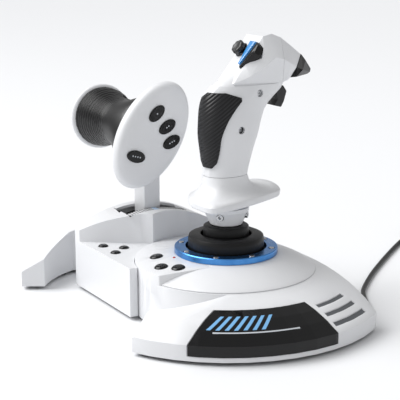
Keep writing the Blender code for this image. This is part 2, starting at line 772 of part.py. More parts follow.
TRIGGER_HALF = 0.0062
TRIGGER_PIVOT = (0.0475, 0.1845)
HANDLE_SCREWS = [(0.0215, 0.1845), (0.0035, 0.1560)]


def handle_half(side):
    """One moulded half of the handle, a shell open at the middle seam."""
    steps = 10
    rings = []
    stops = [SEAM_Z + (HANDLE_TOP - SEAM_Z) * i / 14 for i in range(15)]
    for z in stops:
        outer = [handle_point(z, -pi / 2 + pi * i / steps) for i in range(steps + 1)]
        inner = [handle_point(z, -pi / 2 + pi * i / steps, -WALL) for i in range(steps + 1)]
        for point in (outer[0], outer[-1], inner[0], inner[-1]):
            point.x = GAP / 2
        ring = outer + inner[::-1]
        rings.append([(side * p.x, p.y, p.z) for p in ring])
    made = loft("half", rings)
    slot = box("trigger_slot", (-TRIGGER_HALF - GAP, 0.030, 0.1735 - SEAM_Z),
               (TRIGGER_HALF + GAP, 0.07, 0.1890 - SEAM_Z))
    made = settled(cut(made, slot))
    if side > 0:
        for y, z in HANDLE_SCREWS:
            made = settled(cut(made, rod("screw_hole", 0.0031, (0.008, y, z - SEAM_Z), 0.02, "X", 16)))
    return keep(made, "handle_right" if side > 0 else "handle_left", white, twist_axis, smooth=50)


def pad_edges(z):
    """Angles between which the rubber pad wraps round the back and right of the handle."""
    stops = [(0.1255, -92, -62), (0.1300, -108, -48), (0.1400, -112, -40), (0.1510, -113, -36),
             (0.1640, -112, -26),
             (0.1730, -111, -16), (0.1790, -107, -12), (0.1830, -100, -16), (0.1865, -86, -44)]
    return smooth_path(stops, z)


def grip_pad():
    """Rubber pad on the back and right of the handle, a closed skin 1 mm thick."""
    rows, columns = 14, 10
    low, high = 0.1255, 0.1865
    work = bmesh.new()
    layers = []
    for grow in (2 * GAP, 2 * GAP + 0.0010):
        grid = []
        for i in range(rows + 1):
            z = mix(low, high, i / rows)
            start, end = pad_edges(z)
            grid.append([work.verts.new(handle_point(z, radians(mix(start, end, j / columns)), grow))
                         for j in range(columns + 1)])
        layers.append(grid)
    inner, outer = layers
    for i in range(rows):
        for j in range(columns):
            work.faces.new((outer[i][j], outer[i][j + 1], outer[i + 1][j + 1], outer[i + 1][j]))
            work.faces.new((inner[i][j], inner[i + 1][j], inner[i + 1][j + 1], inner[i][j + 1]))
        for j in (0, columns):
            work.faces.new((inner[i][j], inner[i + 1][j], outer[i + 1][j], outer[i][j]))
    for j in range(columns):
        for i in (0, rows):
            work.faces.new((inner[i][j], inner[i][j + 1], outer[i][j + 1], outer[i][j]))
    return keep(from_bmesh("pad", work), "grip_pad", rubber, twist_axis, smooth=50)


# ---- stick module: head ----
# for each station of the head: y, height and half width of the top, the widest edge and the bottom
HEAD = [((0.0005, 0.1950, 0.0085), (-0.0015, 0.1932, 0.0125), (0.0000, HEAD_BOTTOM, 0.0110)),
        ((0.0140, 0.2120, 0.0115), (0.0110, 0.1985, 0.0175), (0.0110, HEAD_BOTTOM, 0.0135)),
        ((0.0262, 0.2295, 0.0120), (0.0240, 0.2070, 0.0205), (0.0240, HEAD_BOTTOM, 0.0145)),
        ((0.0350, 0.2312, 0.0115), (0.0330, 0.2135, 0.0220), (0.0350, HEAD_BOTTOM, 0.0145)),
        ((0.0450, 0.2275, 0.0105), (0.0405, 0.2115, 0.0220), (0.0450, HEAD_BOTTOM, 0.0140))]
NOSE = [HEAD[-1],
        ((0.0560, 0.2200, 0.0095), (0.0480, 0.2075, 0.0210), (0.0500, 0.1925, 0.0130)),
        ((0.0665, 0.2125, 0.0080), (0.0560, 0.2035, 0.0175), (0.0545, 0.1945, 0.0110))]
CLAW = [NOSE[-1],
        ((0.0725, 0.2070, 0.0058), (0.0660, 0.2000, 0.0115), (0.0620, 0.1940, 0.0080)),
        ((0.0805, 0.1990, 0.0022), (0.0790, 0.1965, 0.0034), (0.0770, 0.1948, 0.0022))]


def station_ring(station, shift=0.0, grow=0.0):
    """A six-cornered section: top, widest edge and bottom on both sides."""
    top, wide, low = station
    right = [(top[2] + grow, top[0], top[1] + grow), (wide[2] + grow, wide[0], wide[1]),
             (low[2] + grow, low[0], low[1] - grow)]
    ring = right + [(-x, y, z) for x, y, z in right[::-1]]
    return [(x, y + shift, z - SEAM_Z) for x, y, z in ring]


def head_slope():
    """Tilt of the face that carries the thumb controls."""
    low, high = HEAD[0][0], HEAD[2][0]
    return atan2(high[1] - low[1], high[0] - low[0])


def face_matrix(x, along):
    """Frame on the sloping face: local Z is the face's normal, local Y runs up the face."""
    low = HEAD[0][0]
    tilt = head_slope()
    base = Vector((x, low[0] + along * cos(tilt), low[1] + along * sin(tilt) - SEAM_Z))
    return Matrix.Translation(base) @ Matrix.Rotation(tilt, 4, 'X')


HAT_PLACE = (-0.0065, 0.0285)
HAT_RADIUS = 0.0052
BLUE_KEY = [(0.0030, 0.0150), (0.0052, 0.0150), (0.0090, 0.0370), (0.0010, 0.0370)]
BLACK_KEY = [(0.0068, 0.0120), (0.0085, 0.0125), (0.0165, 0.0270), (0.0150, 0.0345), (0.0112, 0.0370)]


def key_prism(name, outline, low, high, grow=0.0):
    """A key's outline on the sloping face, given thickness along the face's normal."""
    middle = (sum(p[0] for p in outline) / len(outline), sum(p[1] for p in outline) / len(outline))
    grown = []
    for x, y in outline:
        away = Vector((x - middle[0], y - middle[1]))
        away = away * (1 + grow * 1.6 / away.length)
        grown.append((middle[0] + away.x, middle[1] + away.y))
    made = plate(name, grown, low, high)
    made.data.transform(face_matrix(0, 0))
    return made


def head_shell():
    rings = [station_ring(station) for station in HEAD]
    made = loft("head", rings, folded=True)
    core = [station_ring(station, 0, -0.0032) for station in HEAD]
    core = [[(x, y, min(z, HANDLE_TOP - SEAM_Z - 0.002) if k in (2, 3) else z) for k,
             (x, y, z) in enumerate(ring)]
            for ring in core]
    made = settled(cut(made, loft("head_space", core[1:4], folded=True)))
    made = settled(cut(made, key_prism("blue_hole", BLUE_KEY, -0.02, 0.01, GAP)))
    made = settled(cut(made, key_prism("black_hole", BLACK_KEY, -0.012, 0.01, GAP)))
    well = rod("hat_well", HAT_RADIUS + 0.0012, (0, 0, -0.006), 0.012, sides=24)
    well.data.transform(face_matrix(*HAT_PLACE))
    made = settled(cut(made, well))
    return keep(made, "head_shell", white, twist_axis, smooth=25)


def nose_shell():
    rings = [station_ring(station, GAP) for station in NOSE]
    return keep(loft("nose", rings, folded=True), "nose_shell", white, twist_axis, smooth=25)


def nose_claw():
    rings = [station_ring(station, 2 * GAP) for station in CLAW]
    return keep(loft("claw", rings, folded=True), "nose_claw", gloss, twist_axis, smooth=25)


def on_face(name, x, along, parent):
    """An empty on the sloping face, turned to it."""
    matrix = face_matrix(x, along)
    made = empty(name, matrix.translation, parent)
    made.rotation_euler = matrix.to_euler()
    return made


hat_axis = on_face("hat_axis", HAT_PLACE[0], HAT_PLACE[1], twist_axis)


def hat_pivot():
    """Small cross block under the hat."""
    made = rod("hat_block", 0.0022, (0, 0, -0.0052), 0.0030, sides=16)
    return keep(made, "hat_pivot", black, hat_axis)


def hat_switch():
    """Eight-sided hat with a dished top."""
    made = rod("hat_stem", 0.0018, (0, 0, -0.0019), 0.0025, sides=16)
    join(made, rod("hat_top", HAT_RADIUS, (0, 0, 0.0004), 0.0042, sides=8, end_radius=HAT_RADIUS - 0.0008))
    made = settled(made)
    cut(made, rod("hat_dish", 0.0022, (0, 0, 0.0036), 0.004, sides=16, end_radius=0.005))
    return keep(settled(made), "hat_switch", black, hat_axis, smooth=20)


def thumb_key(name, outline, finish, depth):
    made = key_prism(name + "_form", outline, -depth, BUTTON_RISE)
    made = bevel(made, 0.0005, 2)
    return keep(made, name, finish, twist_axis, smooth=35)


def trigger():
    """Curved finger lever hung on a pin across the handle's front."""
    y0, z0 = TRIGGER_PIVOT
    outline = [(-0.0030, 0.0030), (0.0040, 0.0030), (0.0075, -0.0020), (0.0050, -0.0100), (0.0022, -0.0150),
               (-0.0060, -0.0128), (-0.0020, -0.0085), (-0.0030, -0.0030)]
    made = plate("trigger_form", outline, -TRIGGER_HALF + 0.0003, TRIGGER_HALF - 0.0003, upright=True)
    made = bevel(made, 0.0006, 1)
    pivot = empty("trigger_axis", (0, y0, z0 - SEAM_Z), twist_axis)
    return keep(made, "trigger", black, pivot)


# ---- throttle module: base ----
def hump_height(y, inset=0.0):
    radius = HUMP_RADIUS - inset
    centre = HUMP_TOP - HUMP_RADIUS
    return centre + sqrt(max(radius ** 2 - (y - HUMP_Y) ** 2, 0))


def block_outline(inset):
    """Plan of the throttle block: three straight sides, hollowed to clear the stick's round body."""
    clear = BODY_RADIUS + MODULE_GAP + inset
    front = BLOCK_FRONT + inset
    back = BACK_Y - inset
    left = BLOCK_LEFT + inset
    right = BLOCK_RIGHT - inset
    start = -degrees(acos(right / clear))
    inner = -sqrt(max(clear ** 2 - back ** 2, 0)) if back < clear else -0.002
    end = -360 + atan2(min(back, clear), inner) * 180 / pi + 0.5
    return [(left, front), (right, front), *arc(clear, start, end, 24), (inner - 0.001, back), (left, back)]


def hump_outline(inset):
    """Plan of the hump: its right wall slants back from the front corner, then follows the round body."""
    wall = BODY_RADIUS + 0.0015 + inset
    left = BLOCK_LEFT + inset
    front = BLOCK_FRONT + inset
    return [(left, front), (-0.1120 - inset * 0.4, front), (-0.0845 - inset, -0.0470 + inset * 0.3),
            (-0.0800 - inset, -0.0370), *arc(wall, 203, 143, 12), (-0.058 - inset, 0.055 - inset),
            (left, 0.055 - inset)]


def hump_side(inset, bottom):
    """Side view of the hump: an arc over a straight base."""
    stops = 26
    low, high = BLOCK_FRONT - 0.01, 0.062
    ys = [mix(low, high, i / stops) for i in range(stops + 1)]
    return [(low, bottom)] + [(y, hump_height(y, inset)) for y in ys] + [(high, bottom)]


WING_CROWN = [(0.093, 0.0420), (0.104, 0.0385), (0.114, 0.0330), (0.122, 0.0262), (0.127, 0.0200)]


def wing_outline(inset):
    """Plan of the left wing: a horn at the front, widening to join the block behind."""
    centre = Vector((WING_X, WING_Y))
    reach = CRESCENT_RADIUS + 0.01 - inset
    corner = Vector(WING_CORNER) + Vector((-inset, -inset * 0.2))
    tip = centre + (Vector(WING_TIP) - centre) * 1.01 + Vector((-inset * 0.3, 1.6 * inset))
    start = atan2(tip.y - centre.y, tip.x - centre.x) * 180 / pi
    back = BACK_Y - inset
    rise = back - WING_Y
    end = 180 - atan2(rise, sqrt(reach ** 2 - rise ** 2)) * 180 / pi
    first = atan2(corner.y - centre.y, corner.x - centre.x) * 180 / pi
    horn = [(centre.x + (mix(0.1096, 0.0965, i / 6) + inset) * cos(radians(mix(first, -144, i / 6))),
             centre.y + (mix(0.1096, 0.0965, i / 6) + inset) * sin(radians(mix(first, -144, i / 6))))
            for i in range(7)]
    join_x = BLOCK_LEFT + 0.012 + inset * 0.3
    return [*horn[::-1], tuple(tip), *arc(reach, start - 2, end - 360, 22, centre), (join_x, back),
            (join_x, -0.046 + inset), (-0.150, -0.046 + inset)]


def wing_form(name, inset, bottom):
    rows = WING_CROWN[::2] if inset else WING_CROWN
    crown = [(0, 0.0430 - inset)] + [(r - inset * 0.3, z - inset) for r, z in rows]
    edge = CRESCENT_RADIUS - inset
    form = turned(name, crown + [(edge, 0.0160 - inset), (edge, bottom), (0, bottom)],
                  INNER_STEPS if inset else OUTER_STEPS, closed=False)
    form.data.transform(Matrix.Translation((WING_X, WING_Y, 0)))
    a, b, c = WING_RAMP
    slope = (a, b, c - a * WING_TIP[0] - b * WING_TIP[1] - inset)
    cut(form, sloped(name + "_plan", wing_outline(inset), bottom - 0.01, slope), 'INTERSECT')
    return settled(form)


def throttle_hollow(name, inset, bottom):
    """The throttle module's outer form, or the space inside it when inset by the wall."""
    block = plate(name, block_outline(inset), bottom, PAD_TOP - inset)
    hump = plate(name + "_hump", hump_side(inset, bottom + 0.004), BLOCK_LEFT - 0.02, 0.0, upright=True)
    cut(hump, plate(name + "_plan", hump_outline(inset), bottom, 0.1), 'INTERSECT')
    hump = settled(hump)
    made = settled(join(block, hump))
    back = box(name + "_low_back", (-0.2, 0.055 + inset, DECK_BACK - inset), (0.05, 0.1, 0.1))
    made = settled(cut(made, back))
    return settled(join(made, wing_form(name + "_wing", inset, bottom)))


def slot_span():
    """Sides of the lever's slot across the hump."""
    half = LEVER_WIDTH / 2 + SLOT_SIDE
    return LEVER_X - half, LEVER_X + half


def throttle_base_top():
    shell = throttle_hollow("throttle_shell", 0, SHELL_BOTTOM)
    shell = settled(cut(shell, throttle_hollow("throttle_space", WALL, SHELL_BOTTOM - 0.005)))
    left, right = slot_span()
    cut(shell, box("slot", (left, SLOT_FRONT, 0.05), (right, SLOT_BACK, 0.09)))
    drill(shell, THROTTLE_BUTTONS, PAD_BUTTON + GAP, 0.038, 0.05, 20)
    return keep(settled(shell), "throttle_base_top", white)


def throttle_base_bottom():
    inset = WALL + GAP
    base = plate("tray", block_outline(inset), SHELL_BOTTOM, SHELL_BOTTOM + PLATE_THICKNESS)
    wing = plate("tray_wing", wing_outline(inset), SHELL_BOTTOM, SHELL_BOTTOM + PLATE_THICKNESS)
    trim = disc_trim("tray_trim", inset)
    trim.data.transform(Matrix.Translation((WING_X, WING_Y, 0)))
    wing = settled(cut(wing, trim, 'INTERSECT'))
    return keep(settled(join(base, wing)), "throttle_base_bottom", black)


# ---- throttle module: lever ----
lever_axis = empty("lever_axis", (LEVER_X, LEVER_Y, LEVER_Z), axis)


def lever_bracket():
    """Two cheeks on a foot that carry the lever's axle."""
    low = SHELL_BOTTOM + PLATE_THICKNESS + GAP
    half = LEVER_WIDTH / 2 + 0.0006
    made = box("bracket_foot", (LEVER_X - half - 0.004, LEVER_Y - 0.014, low),
               (LEVER_X + half + 0.004, LEVER_Y + 0.014, low + 0.0018))
    for side in (-1, 1):
        x = sorted((LEVER_X + side * half, LEVER_X + side * (half + 0.0035)))
        join(made, box("cheek", (x[0], LEVER_Y - 0.008, low + 0.001),
                       (x[1], LEVER_Y + 0.008, LEVER_Z + 0.007)))
    made = settled(made)
    cut(made, rod("cheek_bore", AXLE_RADIUS + GAP, (LEVER_X - 0.03, LEVER_Y, LEVER_Z), 0.06, "X", 20))
    return keep(settled(made), "lever_bracket", black)


GRIP_FROM_AXIS = (GRIP_Y - LEVER_Y, GRIP_Z - LEVER_Z)


def lever_post():
    """Post with stub axles at its foot, bent back at its top into the tube that carries the grip."""
    half = LEVER_WIDTH / 2
    d = LEVER_DEPTH / 2
    gy, gz = GRIP_FROM_AXIS
    outline = [(-d, 0), (d, 0), (d, gz - 0.012), (d - 0.006, gz + 0.001), (gy + 0.012, gz + 0.0075),
               (gy, gz + 0.0080),
               (gy - 0.0070, gz), (gy, gz - 0.0080), (-d, gz - 0.024)]
    made = plate("post", outline, -half, half, upright=True)
    made = bevel(made, 0.0012, 2)
    made = settled(join(made, rod("axle", AXLE_RADIUS, (-half - 0.0038, 0, 0), 2 * half + 0.0076, "X", 20)))
    made = settled(join(made, rod("hub", 0.0044, (-half, 0, 0), 2 * half, "X", 20)))
    start = -0.1364 - LEVER_X
    length = SADDLE_END - 0.0006 + 0.1364
    core = rod("core", CORE_RADIUS - GAP, (start, gy, gz), length, "X", 24)
    core = settled(cut(core, rod("core_bore", CORE_RADIUS - 0.003, (start - 0.01, gy, gz), length + 0.02,
                                 "X", 24)))
    return keep(settled(join(made, core)), "lever_post", white, lever_axis)


def slot_shutter():
    """Curved strip that keeps the slot closed as the lever swings, with a window round the post."""
    half = LEVER_WIDTH / 2 + SLOT_SIDE + 0.0006
    outer = SHUTTER_RADIUS
    outline = arc(outer, *SHUTTER_SPAN, 14) + arc(outer - 0.0012, *SHUTTER_SPAN[::-1], 14)
    made = plate("shutter", outline, -half, half, upright=True)
    room = 0.0003
    window = box("window", (-LEVER_WIDTH / 2 - room, -LEVER_DEPTH / 2 - room, 0.02),
                 (LEVER_WIDTH / 2 + room, LEVER_DEPTH / 2 + room, 0.1))
    made = settled(cut(made, window))
    corner = box("corner", (0.004, -0.05, 0.02), (0.02, -0.014, 0.1))
    return keep(settled(cut(made, corner)), "slot_shutter", black, lever_axis)


def grip_ring(x, centre, radii, count, lean=0.0):
    """An oval section of the throttle grip in the plane of constant x, leaning by an angle."""
    c, s = cos(lean), sin(lean)
    ring = []
    for i in range(count):
        a = 2 * pi * i / count
        u, v = radii[0] * cos(a), radii[1] * sin(a)
        ring.append((x - LEVER_X, centre[0] + u * c - v * s - LEVER_Y, centre[1] + u * s + v * c - LEVER_Z))
    return ring


# along x: centre y and z, long and short radius, and lean of the grip's section
GRIP_STOPS = [(-0.1370, GRIP_Y - 0.001, GRIP_Z, 0.0265, 0.0265, 0),
              (-0.1290, GRIP_Y, GRIP_Z, 0.0260, 0.0255, 5),
              (-0.1160, GRIP_Y, GRIP_Z, 0.0222, 0.0205, 20), (-0.1030, GRIP_Y, GRIP_Z, 0.0205, 0.0190, 40),
              (-0.0900, GRIP_Y + 0.0005, GRIP_Z - 0.0005, 0.0225, 0.0190, SHIELD_LEAN),
              (-0.0790, GRIP_Y + 0.002, GRIP_Z - 0.002, 0.0290, 0.0205, SHIELD_LEAN),
              (SADDLE_END, SHIELD_Y - 0.001, SHIELD_Z, 0.0385, 0.0235, SHIELD_LEAN)]


def grip_rings(low, high, steps, shrink, count=32):
    rings = []
    for i in range(steps + 1):
        x = mix(low, high, i / steps)
        cy, cz, a, b, lean = smooth_path(GRIP_STOPS, x)
        rings.append(grip_ring(x, (cy, cz), (a - shrink, b - shrink), count, radians(lean)))
    return rings


def post_gap(name):
    """Room that the grip leaves round the post's bent top."""
    half = LEVER_WIDTH / 2 + GAP
    gy, gz = GRIP_FROM_AXIS
    d = LEVER_DEPTH / 2 + GAP
    return plate(name, [(-d - 0.004, 0.08), (d + 0.004, 0.08), (d + 0.004, gz - 0.002),
                        (gy + 0.010, gz + 0.010),
                        (gy - 0.0115, gz + 0.004), (gy - 0.0115, gz - 0.003), (gy, gz - 0.0115),
                        (-d - 0.004, gz - 0.030)], -half, half, upright=True)


def throttle_saddle():
    """Rubber saddle of the grip, a hollow waist between the end disc and the shield."""
    made = loft("saddle", grip_rings(-0.1367, SADDLE_END - GAP, 10, 0, 26))
    core = rod("saddle_space", CORE_RADIUS,
               (GRIP_END - LEVER_X - 0.01, GRIP_FROM_AXIS[0], GRIP_FROM_AXIS[1]), 0.12, "X", 28)
    made = settled(cut(made, core))
    made = settled(cut(made, post_gap("saddle_gap")))
    made = settled(cut(made, rocker_tool("rocker_pocket", 0.0006, 0.0060)))
    return keep(made, "throttle_saddle", rubber, lever_axis, smooth=50)


def end_disc():
    """White dished cap at the grip's left end."""
    centre = (GRIP_Y - 0.0015, GRIP_Z)
    rings = [grip_ring(x, centre, (r, r), 32) for x, r in
             ((GRIP_END, 0.0225), (GRIP_END + 0.0006, 0.0255), (GRIP_END + 0.0022, GRIP_DISC - 0.0006),
              (GRIP_END + 0.0042, GRIP_DISC), (-0.1371, 0.0272))]
    return keep(loft("disc", rings), "throttle_end_disc", white, lever_axis, smooth=50)


GRIP_BUTTONS = [(-0.0360, 0.1630), (-0.0262, 0.1515), (-0.0222, 0.1385), (-0.0560, 0.1285)]


def shield_rings(grow=0.0):
    """Egg-shaped shield: from the saddle's end out to its rim, then over a domed face."""
    stops = [(SADDLE_END, 0.80, 0.82), (SADDLE_END + 0.0035, 0.90, 0.91),
             (SADDLE_END + 0.0075, 0.975, 0.98),
             (SADDLE_END + 0.0110, 1.0, 1.0), (SHIELD_FACE - 0.0035, 0.975, 0.97),
             (SHIELD_FACE - 0.0014, 0.90, 0.88),
             (SHIELD_FACE - 0.0004, 0.76, 0.73), (SHIELD_FACE, 0.45, 0.42)]
    return [grip_ring(x, (SHIELD_Y, SHIELD_Z), (SHIELD_LONG * p + grow, SHIELD_SHORT * q + grow), 30,
                      radians(SHIELD_LEAN)) for x, p, q in stops]


def shield():
    """White shield at the grip's right end, hollow behind its face."""
    made = loft("shield", shield_rings())
    rings = shield_rings(-WALL)
    room = [[(x - (0.006 if k == 0 else 0), y, z) for x, y, z in ring] for k, ring in enumerate(rings[0:4])]
    room.append([(x - 0.0002, y, z) for x, y, z in rings[4]])
    made = settled(cut(made, loft("shield_space", room)))
    for y, z in GRIP_BUTTONS:
        cut(made, oval("button_hole", 0.0082 + GAP, 0.0062 + GAP, -0.0605 - LEVER_X, -0.045 - LEVER_X, y,
                       z))
    return keep(settled(made), "throttle_shield", white, lever_axis, smooth=40)


def oval(name, long, short, low, high, y, z, sides=18):
    """An oval prism along X, leaning like the shield."""
    lean = radians(SHIELD_LEAN - 75)
    turns = [2 * pi * i / sides for i in range(sides)]
    outline = [(y - LEVER_Y + long * cos(a) * cos(lean) - short * sin(a) * sin(lean),
                z - LEVER_Z + long * cos(a) * sin(lean) + short * sin(a) * cos(lean))
               for a in turns]
    return plate(name, outline, low, high, upright=True)


def grip_button(number, y, z):
    made = oval("grip_button", 0.0082, 0.0062, -0.0595 - LEVER_X, SHIELD_FACE + 0.0008 - LEVER_X, y, z)
    return keep(bevel(made, 0.0006, 1), f"throttle_grip_button_{number}", gloss, lever_axis)


ROCKER_LEAN = radians(48)
ROCKER_SPAN = 0.021


def rocker_tool(name, grow, depth):
    """The rudder rocker's bar on the front of the saddle, or its pocket when grown."""
    made = box(name, (-ROCKER_SPAN - grow, 0.0155 - depth * 0.3 - grow, -0.0038 - grow),
               (ROCKER_SPAN + grow, 0.0215 + (0.01 if grow else 0), 0.0038 + grow))
    made.data.transform(Matrix.Translation((0, *GRIP_FROM_AXIS)) @ Matrix.Rotation(ROCKER_LEAN, 4, 'X'))
    return made


def rudder_rocker():
    """See-saw bar under the fingertips, hung at its middle."""
    made = box("rocker", (-ROCKER_SPAN, -0.0018, -0.0038), (ROCKER_SPAN, 0.0024, 0.0038))
    wedge = box("rocker_relief", (-ROCKER_SPAN - 0.01, -0.01, -0.01), (-0.006, -0.0002, 0.01))
    other = box("rocker_relief", (0.006, -0.01, -0.01), (ROCKER_SPAN + 0.01, -0.0002, 0.01))
    cut(made, wedge)
    made = settled(cut(made, other))
    made = bevel(made, 0.0008, 2)
    reach = 0.0191
    pivot = empty("rocker_axis", (0, GRIP_FROM_AXIS[0] + reach * cos(ROCKER_LEAN),
                                  GRIP_FROM_AXIS[1] + reach * sin(ROCKER_LEAN)), lever_axis)
    return keep(made, "rudder_rocker", black, pivot, turn=(ROCKER_LEAN, 0, 0))


# ---- small pieces of both modules ----
def base_button(name, place, turn, radius):
    """Round button with a collar under the deck that stops it coming out."""
    made = turned("button", [(0, BUTTON_RISE), (radius - 0.0012, BUTTON_RISE - 0.0002),
                             (radius, BUTTON_RISE - 0.001),
                             (radius, -WALL - 0.0012), (radius + 0.0008, -WALL - 0.0012),
                             (radius + 0.0008, -WALL - 0.0024), (0, -WALL - 0.0024)], 16, closed=False)
    return keep(made, name, gloss, place=place, turn=turn)


def joining_plate():
    """Steel strap under both modules that holds them together."""
    middle = -BODY_RADIUS - MODULE_GAP / 2
    made = box("strap", (middle - STRAP_REACH, -STRAP_HALF, FOOT_HEIGHT - STRAP_THICKNESS),
               (middle + STRAP_REACH, STRAP_HALF, FOOT_HEIGHT))
    return keep(made, "joining_plate", steel)


def cord_points(route, count):
    """Evenly placed points on a smooth open curve through the route's own points."""
    stops = [(i, *point) for i, point in enumerate(route)]
    fine = [Vector(smooth_path(stops, (len(route) - 1) * i / 600)) for i in range(601)]
    lengths = [0.0]
    for before, after in zip(fine, fine[1:]):
        lengths.append(lengths[-1] + (after - before).length)
    points, k = [], 0
    for i in range(count):
        target = lengths[-1] * i / (count - 1)
        while k < 599 and lengths[k + 1] < target:
            k += 1
        points.append(fine[k].lerp(fine[k + 1], (target - lengths[k]) / (lengths[k + 1] - lengths[k])))
    return points


# the cord's way over the desk, from the strain relief to where its coil starts
CORD_ROUTE = [(0.0580, 0.0897, 0.0085), (0.0580, 0.0985, 0.0084), (0.0545, 0.1060, 0.0052),
              (0.0460, 0.1125, 0.0028),
              (0.0340, 0.1200, 0.0023), (0.0188, 0.1320, 0.0022), (-0.0090, 0.1620, 0.0022),
              (-0.0360, 0.1950, 0.0022), (-0.0610, 0.2275, 0.0022), (-0.0836, 0.2586, 0.0022),
              (-0.1000, 0.2870, 0.0022)]


def coil_place():
    """Centre of the coil: the cord's end runs into its outer turns along a tangent."""
    before, end = Vector(CORD_ROUTE[-2]), Vector(CORD_ROUTE[-1])
    along = (end - before).normalized()
    side = Vector((along.y, -along.x, 0))
    outer = COIL_RADIUS + COIL_PIPE
    offset = outer - CORD_RADIUS
    reach = sqrt(outer ** 2 - (offset - CORD_RADIUS) ** 2) + GAP
    place = end + along * reach + side * offset
    return place.x, place.y


def strain_relief():
    """Moulded gland in the back of the base."""
    x = CORD_EXIT[0]
    made = rod("gland", 0.0039, (x, BACK_Y - WALL + GAP, CORD_EXIT[1]), WALL + 0.0020, "Y", 20)
    made = settled(join(made, rod("gland_tail", 0.0034, (x, 0.0790, 0.0085), 0.0103, "Y", 20,
                                  end_radius=0.0026)))
    return keep(made, "strain_relief", black)


def cord_tube(name, route, count):
    """A stretch of the cord as a tube of its real diameter."""
    curve = bpy.data.curves.new(name, 'CURVE')
    curve.dimensions = '3D'
    curve.bevel_depth = CORD_RADIUS
    curve.bevel_resolution = 2
    curve.use_fill_caps = True
    points = cord_points(route, count)
    line = curve.splines.new('POLY')
    line.points.add(count - 1)
    for target, point in zip(line.points, points):
        target.co = (*point, 1)
    made = bpy.data.objects.new(name, curve)
    cutters.objects.link(made)
    return keep(made, name, cable, smooth=0)


def cord_coil():
    """Outer form of the put-away length: a turned ring lying on the desk."""
    r, p, low = COIL_RADIUS, COIL_PIPE, 0.0002
    profile = [(r - p * 0.8, low + 2 * p * 0.85), (r - p * 0.4, low + 1.9 * p),
               (r + p * 0.4, low + 1.9 * p),
               (r + p * 0.8, low + 2 * p * 0.85), (r + p, low + p), (r + p * 0.8, low), (r - p * 0.8, low),
               (r - p, low + p)]
    made = turned("coil", profile, 32)
    return keep(made, "cord_coil", cable, place=(*coil_place(), 0))


def usb_plug():
    """Moulded plug body at the cord's end."""
    made = box("plug_body", (-0.0, -0.0058, 0.0004), (0.020, 0.0058, 0.0084))
    made = bevel(made, 0.0012, 2)
    boot = rod("plug_boot", SLEEVE_RADIUS, (-SLEEVE_LENGTH, 0, 0.0044), SLEEVE_LENGTH + 0.0005, "X", 16,
               end_radius=SLEEVE_RADIUS + 0.0008)
    return keep(settled(join(made, boot)), "usb_plug", black, place=plug_place(), turn=(0, 0, PLUG_TURN))


PLUG_LEAVES = radians(150)       # where the cord's end leaves the coil, clockwise along a tangent
PLUG_TURN = PLUG_LEAVES - pi / 2


def plug_place():
    """The plug lies on the tangent of the outer turn, its sleeve just clear of the coil."""
    x, y = coil_place()
    outer = COIL_RADIUS + COIL_PIPE
    turn = outer - COIL_EDGE
    reach = sqrt(outer ** 2 - (turn - SLEEVE_RADIUS) ** 2) + GAP + SLEEVE_LENGTH
    return (x + turn * cos(PLUG_LEAVES) + reach * sin(PLUG_LEAVES),
            y + turn * sin(PLUG_LEAVES) - reach * cos(PLUG_LEAVES), 0)


def usb_plug_shell():
    """Metal shell of the plug, open at its end with a tongue inside."""
    low, high = 0.0022, 0.0067
    made = box("shell", (0.0203, -0.0060, low), (0.0323, 0.0060, high))
    room = box("shell_room", (0.0213, -0.0056, low + 0.0004), (0.04, 0.0056, high - 0.0004))
    made = settled(cut(made, room))
    tongue = box("tongue", (0.0208, -0.0054, high - 0.0022), (0.0318, 0.0054, high - 0.0002))
    return keep(settled(join(made, tongue)), "usb_plug_shell", steel, place=plug_place(),
                turn=(0, 0, PLUG_TURN))


FEET = [(0.092, -0.070), (0.088, 0.056), (-0.166, -0.078), (-0.168, 0.056), (-0.020, 0.060)]


def build():
    stick_base_top()
    stick_base_bottom()
    name_plate()
    for number, (inner, outer) in enumerate(BARS, 1):
        inlay_bar(number, inner, outer)
    cover()
    collar_ring()
    clamp_ring()
    gimbal_frame()
    gimbal_yoke()
    stick_shaft()
    centring_spring()
    boot_lower()
    boot_upper()
    lock_collar()
    for number, angle in enumerate(LOCK_ANGLES, 1):
        lock_screw(number, angle)
    hand_rest()
    handle_half(1)
    handle_half(-1)
    grip_pad()
    head_shell()
    nose_shell()
    nose_claw()
    hat_pivot()
    hat_switch()
    thumb_key("blue_key", BLUE_KEY, blue_key, 0.0060)
    thumb_key("black_key", BLACK_KEY, gloss, 0.0060)
    trigger()
    throttle_base_top()
    throttle_base_bottom()
    lever_bracket()
    lever_post()
    slot_shutter()
    throttle_saddle()
    end_disc()
    shield()
    for number, (y, z) in enumerate(GRIP_BUTTONS, 1):
        grip_button(number, y, z)
    rudder_rocker()
    for number, (x, y) in enumerate(STICK_BUTTONS, 1):
        spot = deck_frame(x, y)
        base_button(f"stick_button_{number}", spot.translation, spot.to_euler(), DECK_BUTTON)
    for number, (x, y) in enumerate(THROTTLE_BUTTONS, 1):
        base_button(f"throttle_button_{number}", (x, y, PAD_TOP), (0, 0, 0), PAD_BUTTON)
    joining_plate()
    for number, (x, y) in enumerate(FEET, 1):
        foot(f"foot_{number}", x, y)
    strain_relief()
    cord_tube("usb_cord", CORD_ROUTE, 32)
    cord_coil()
    usb_plug()
    usb_plug_shell()


build()
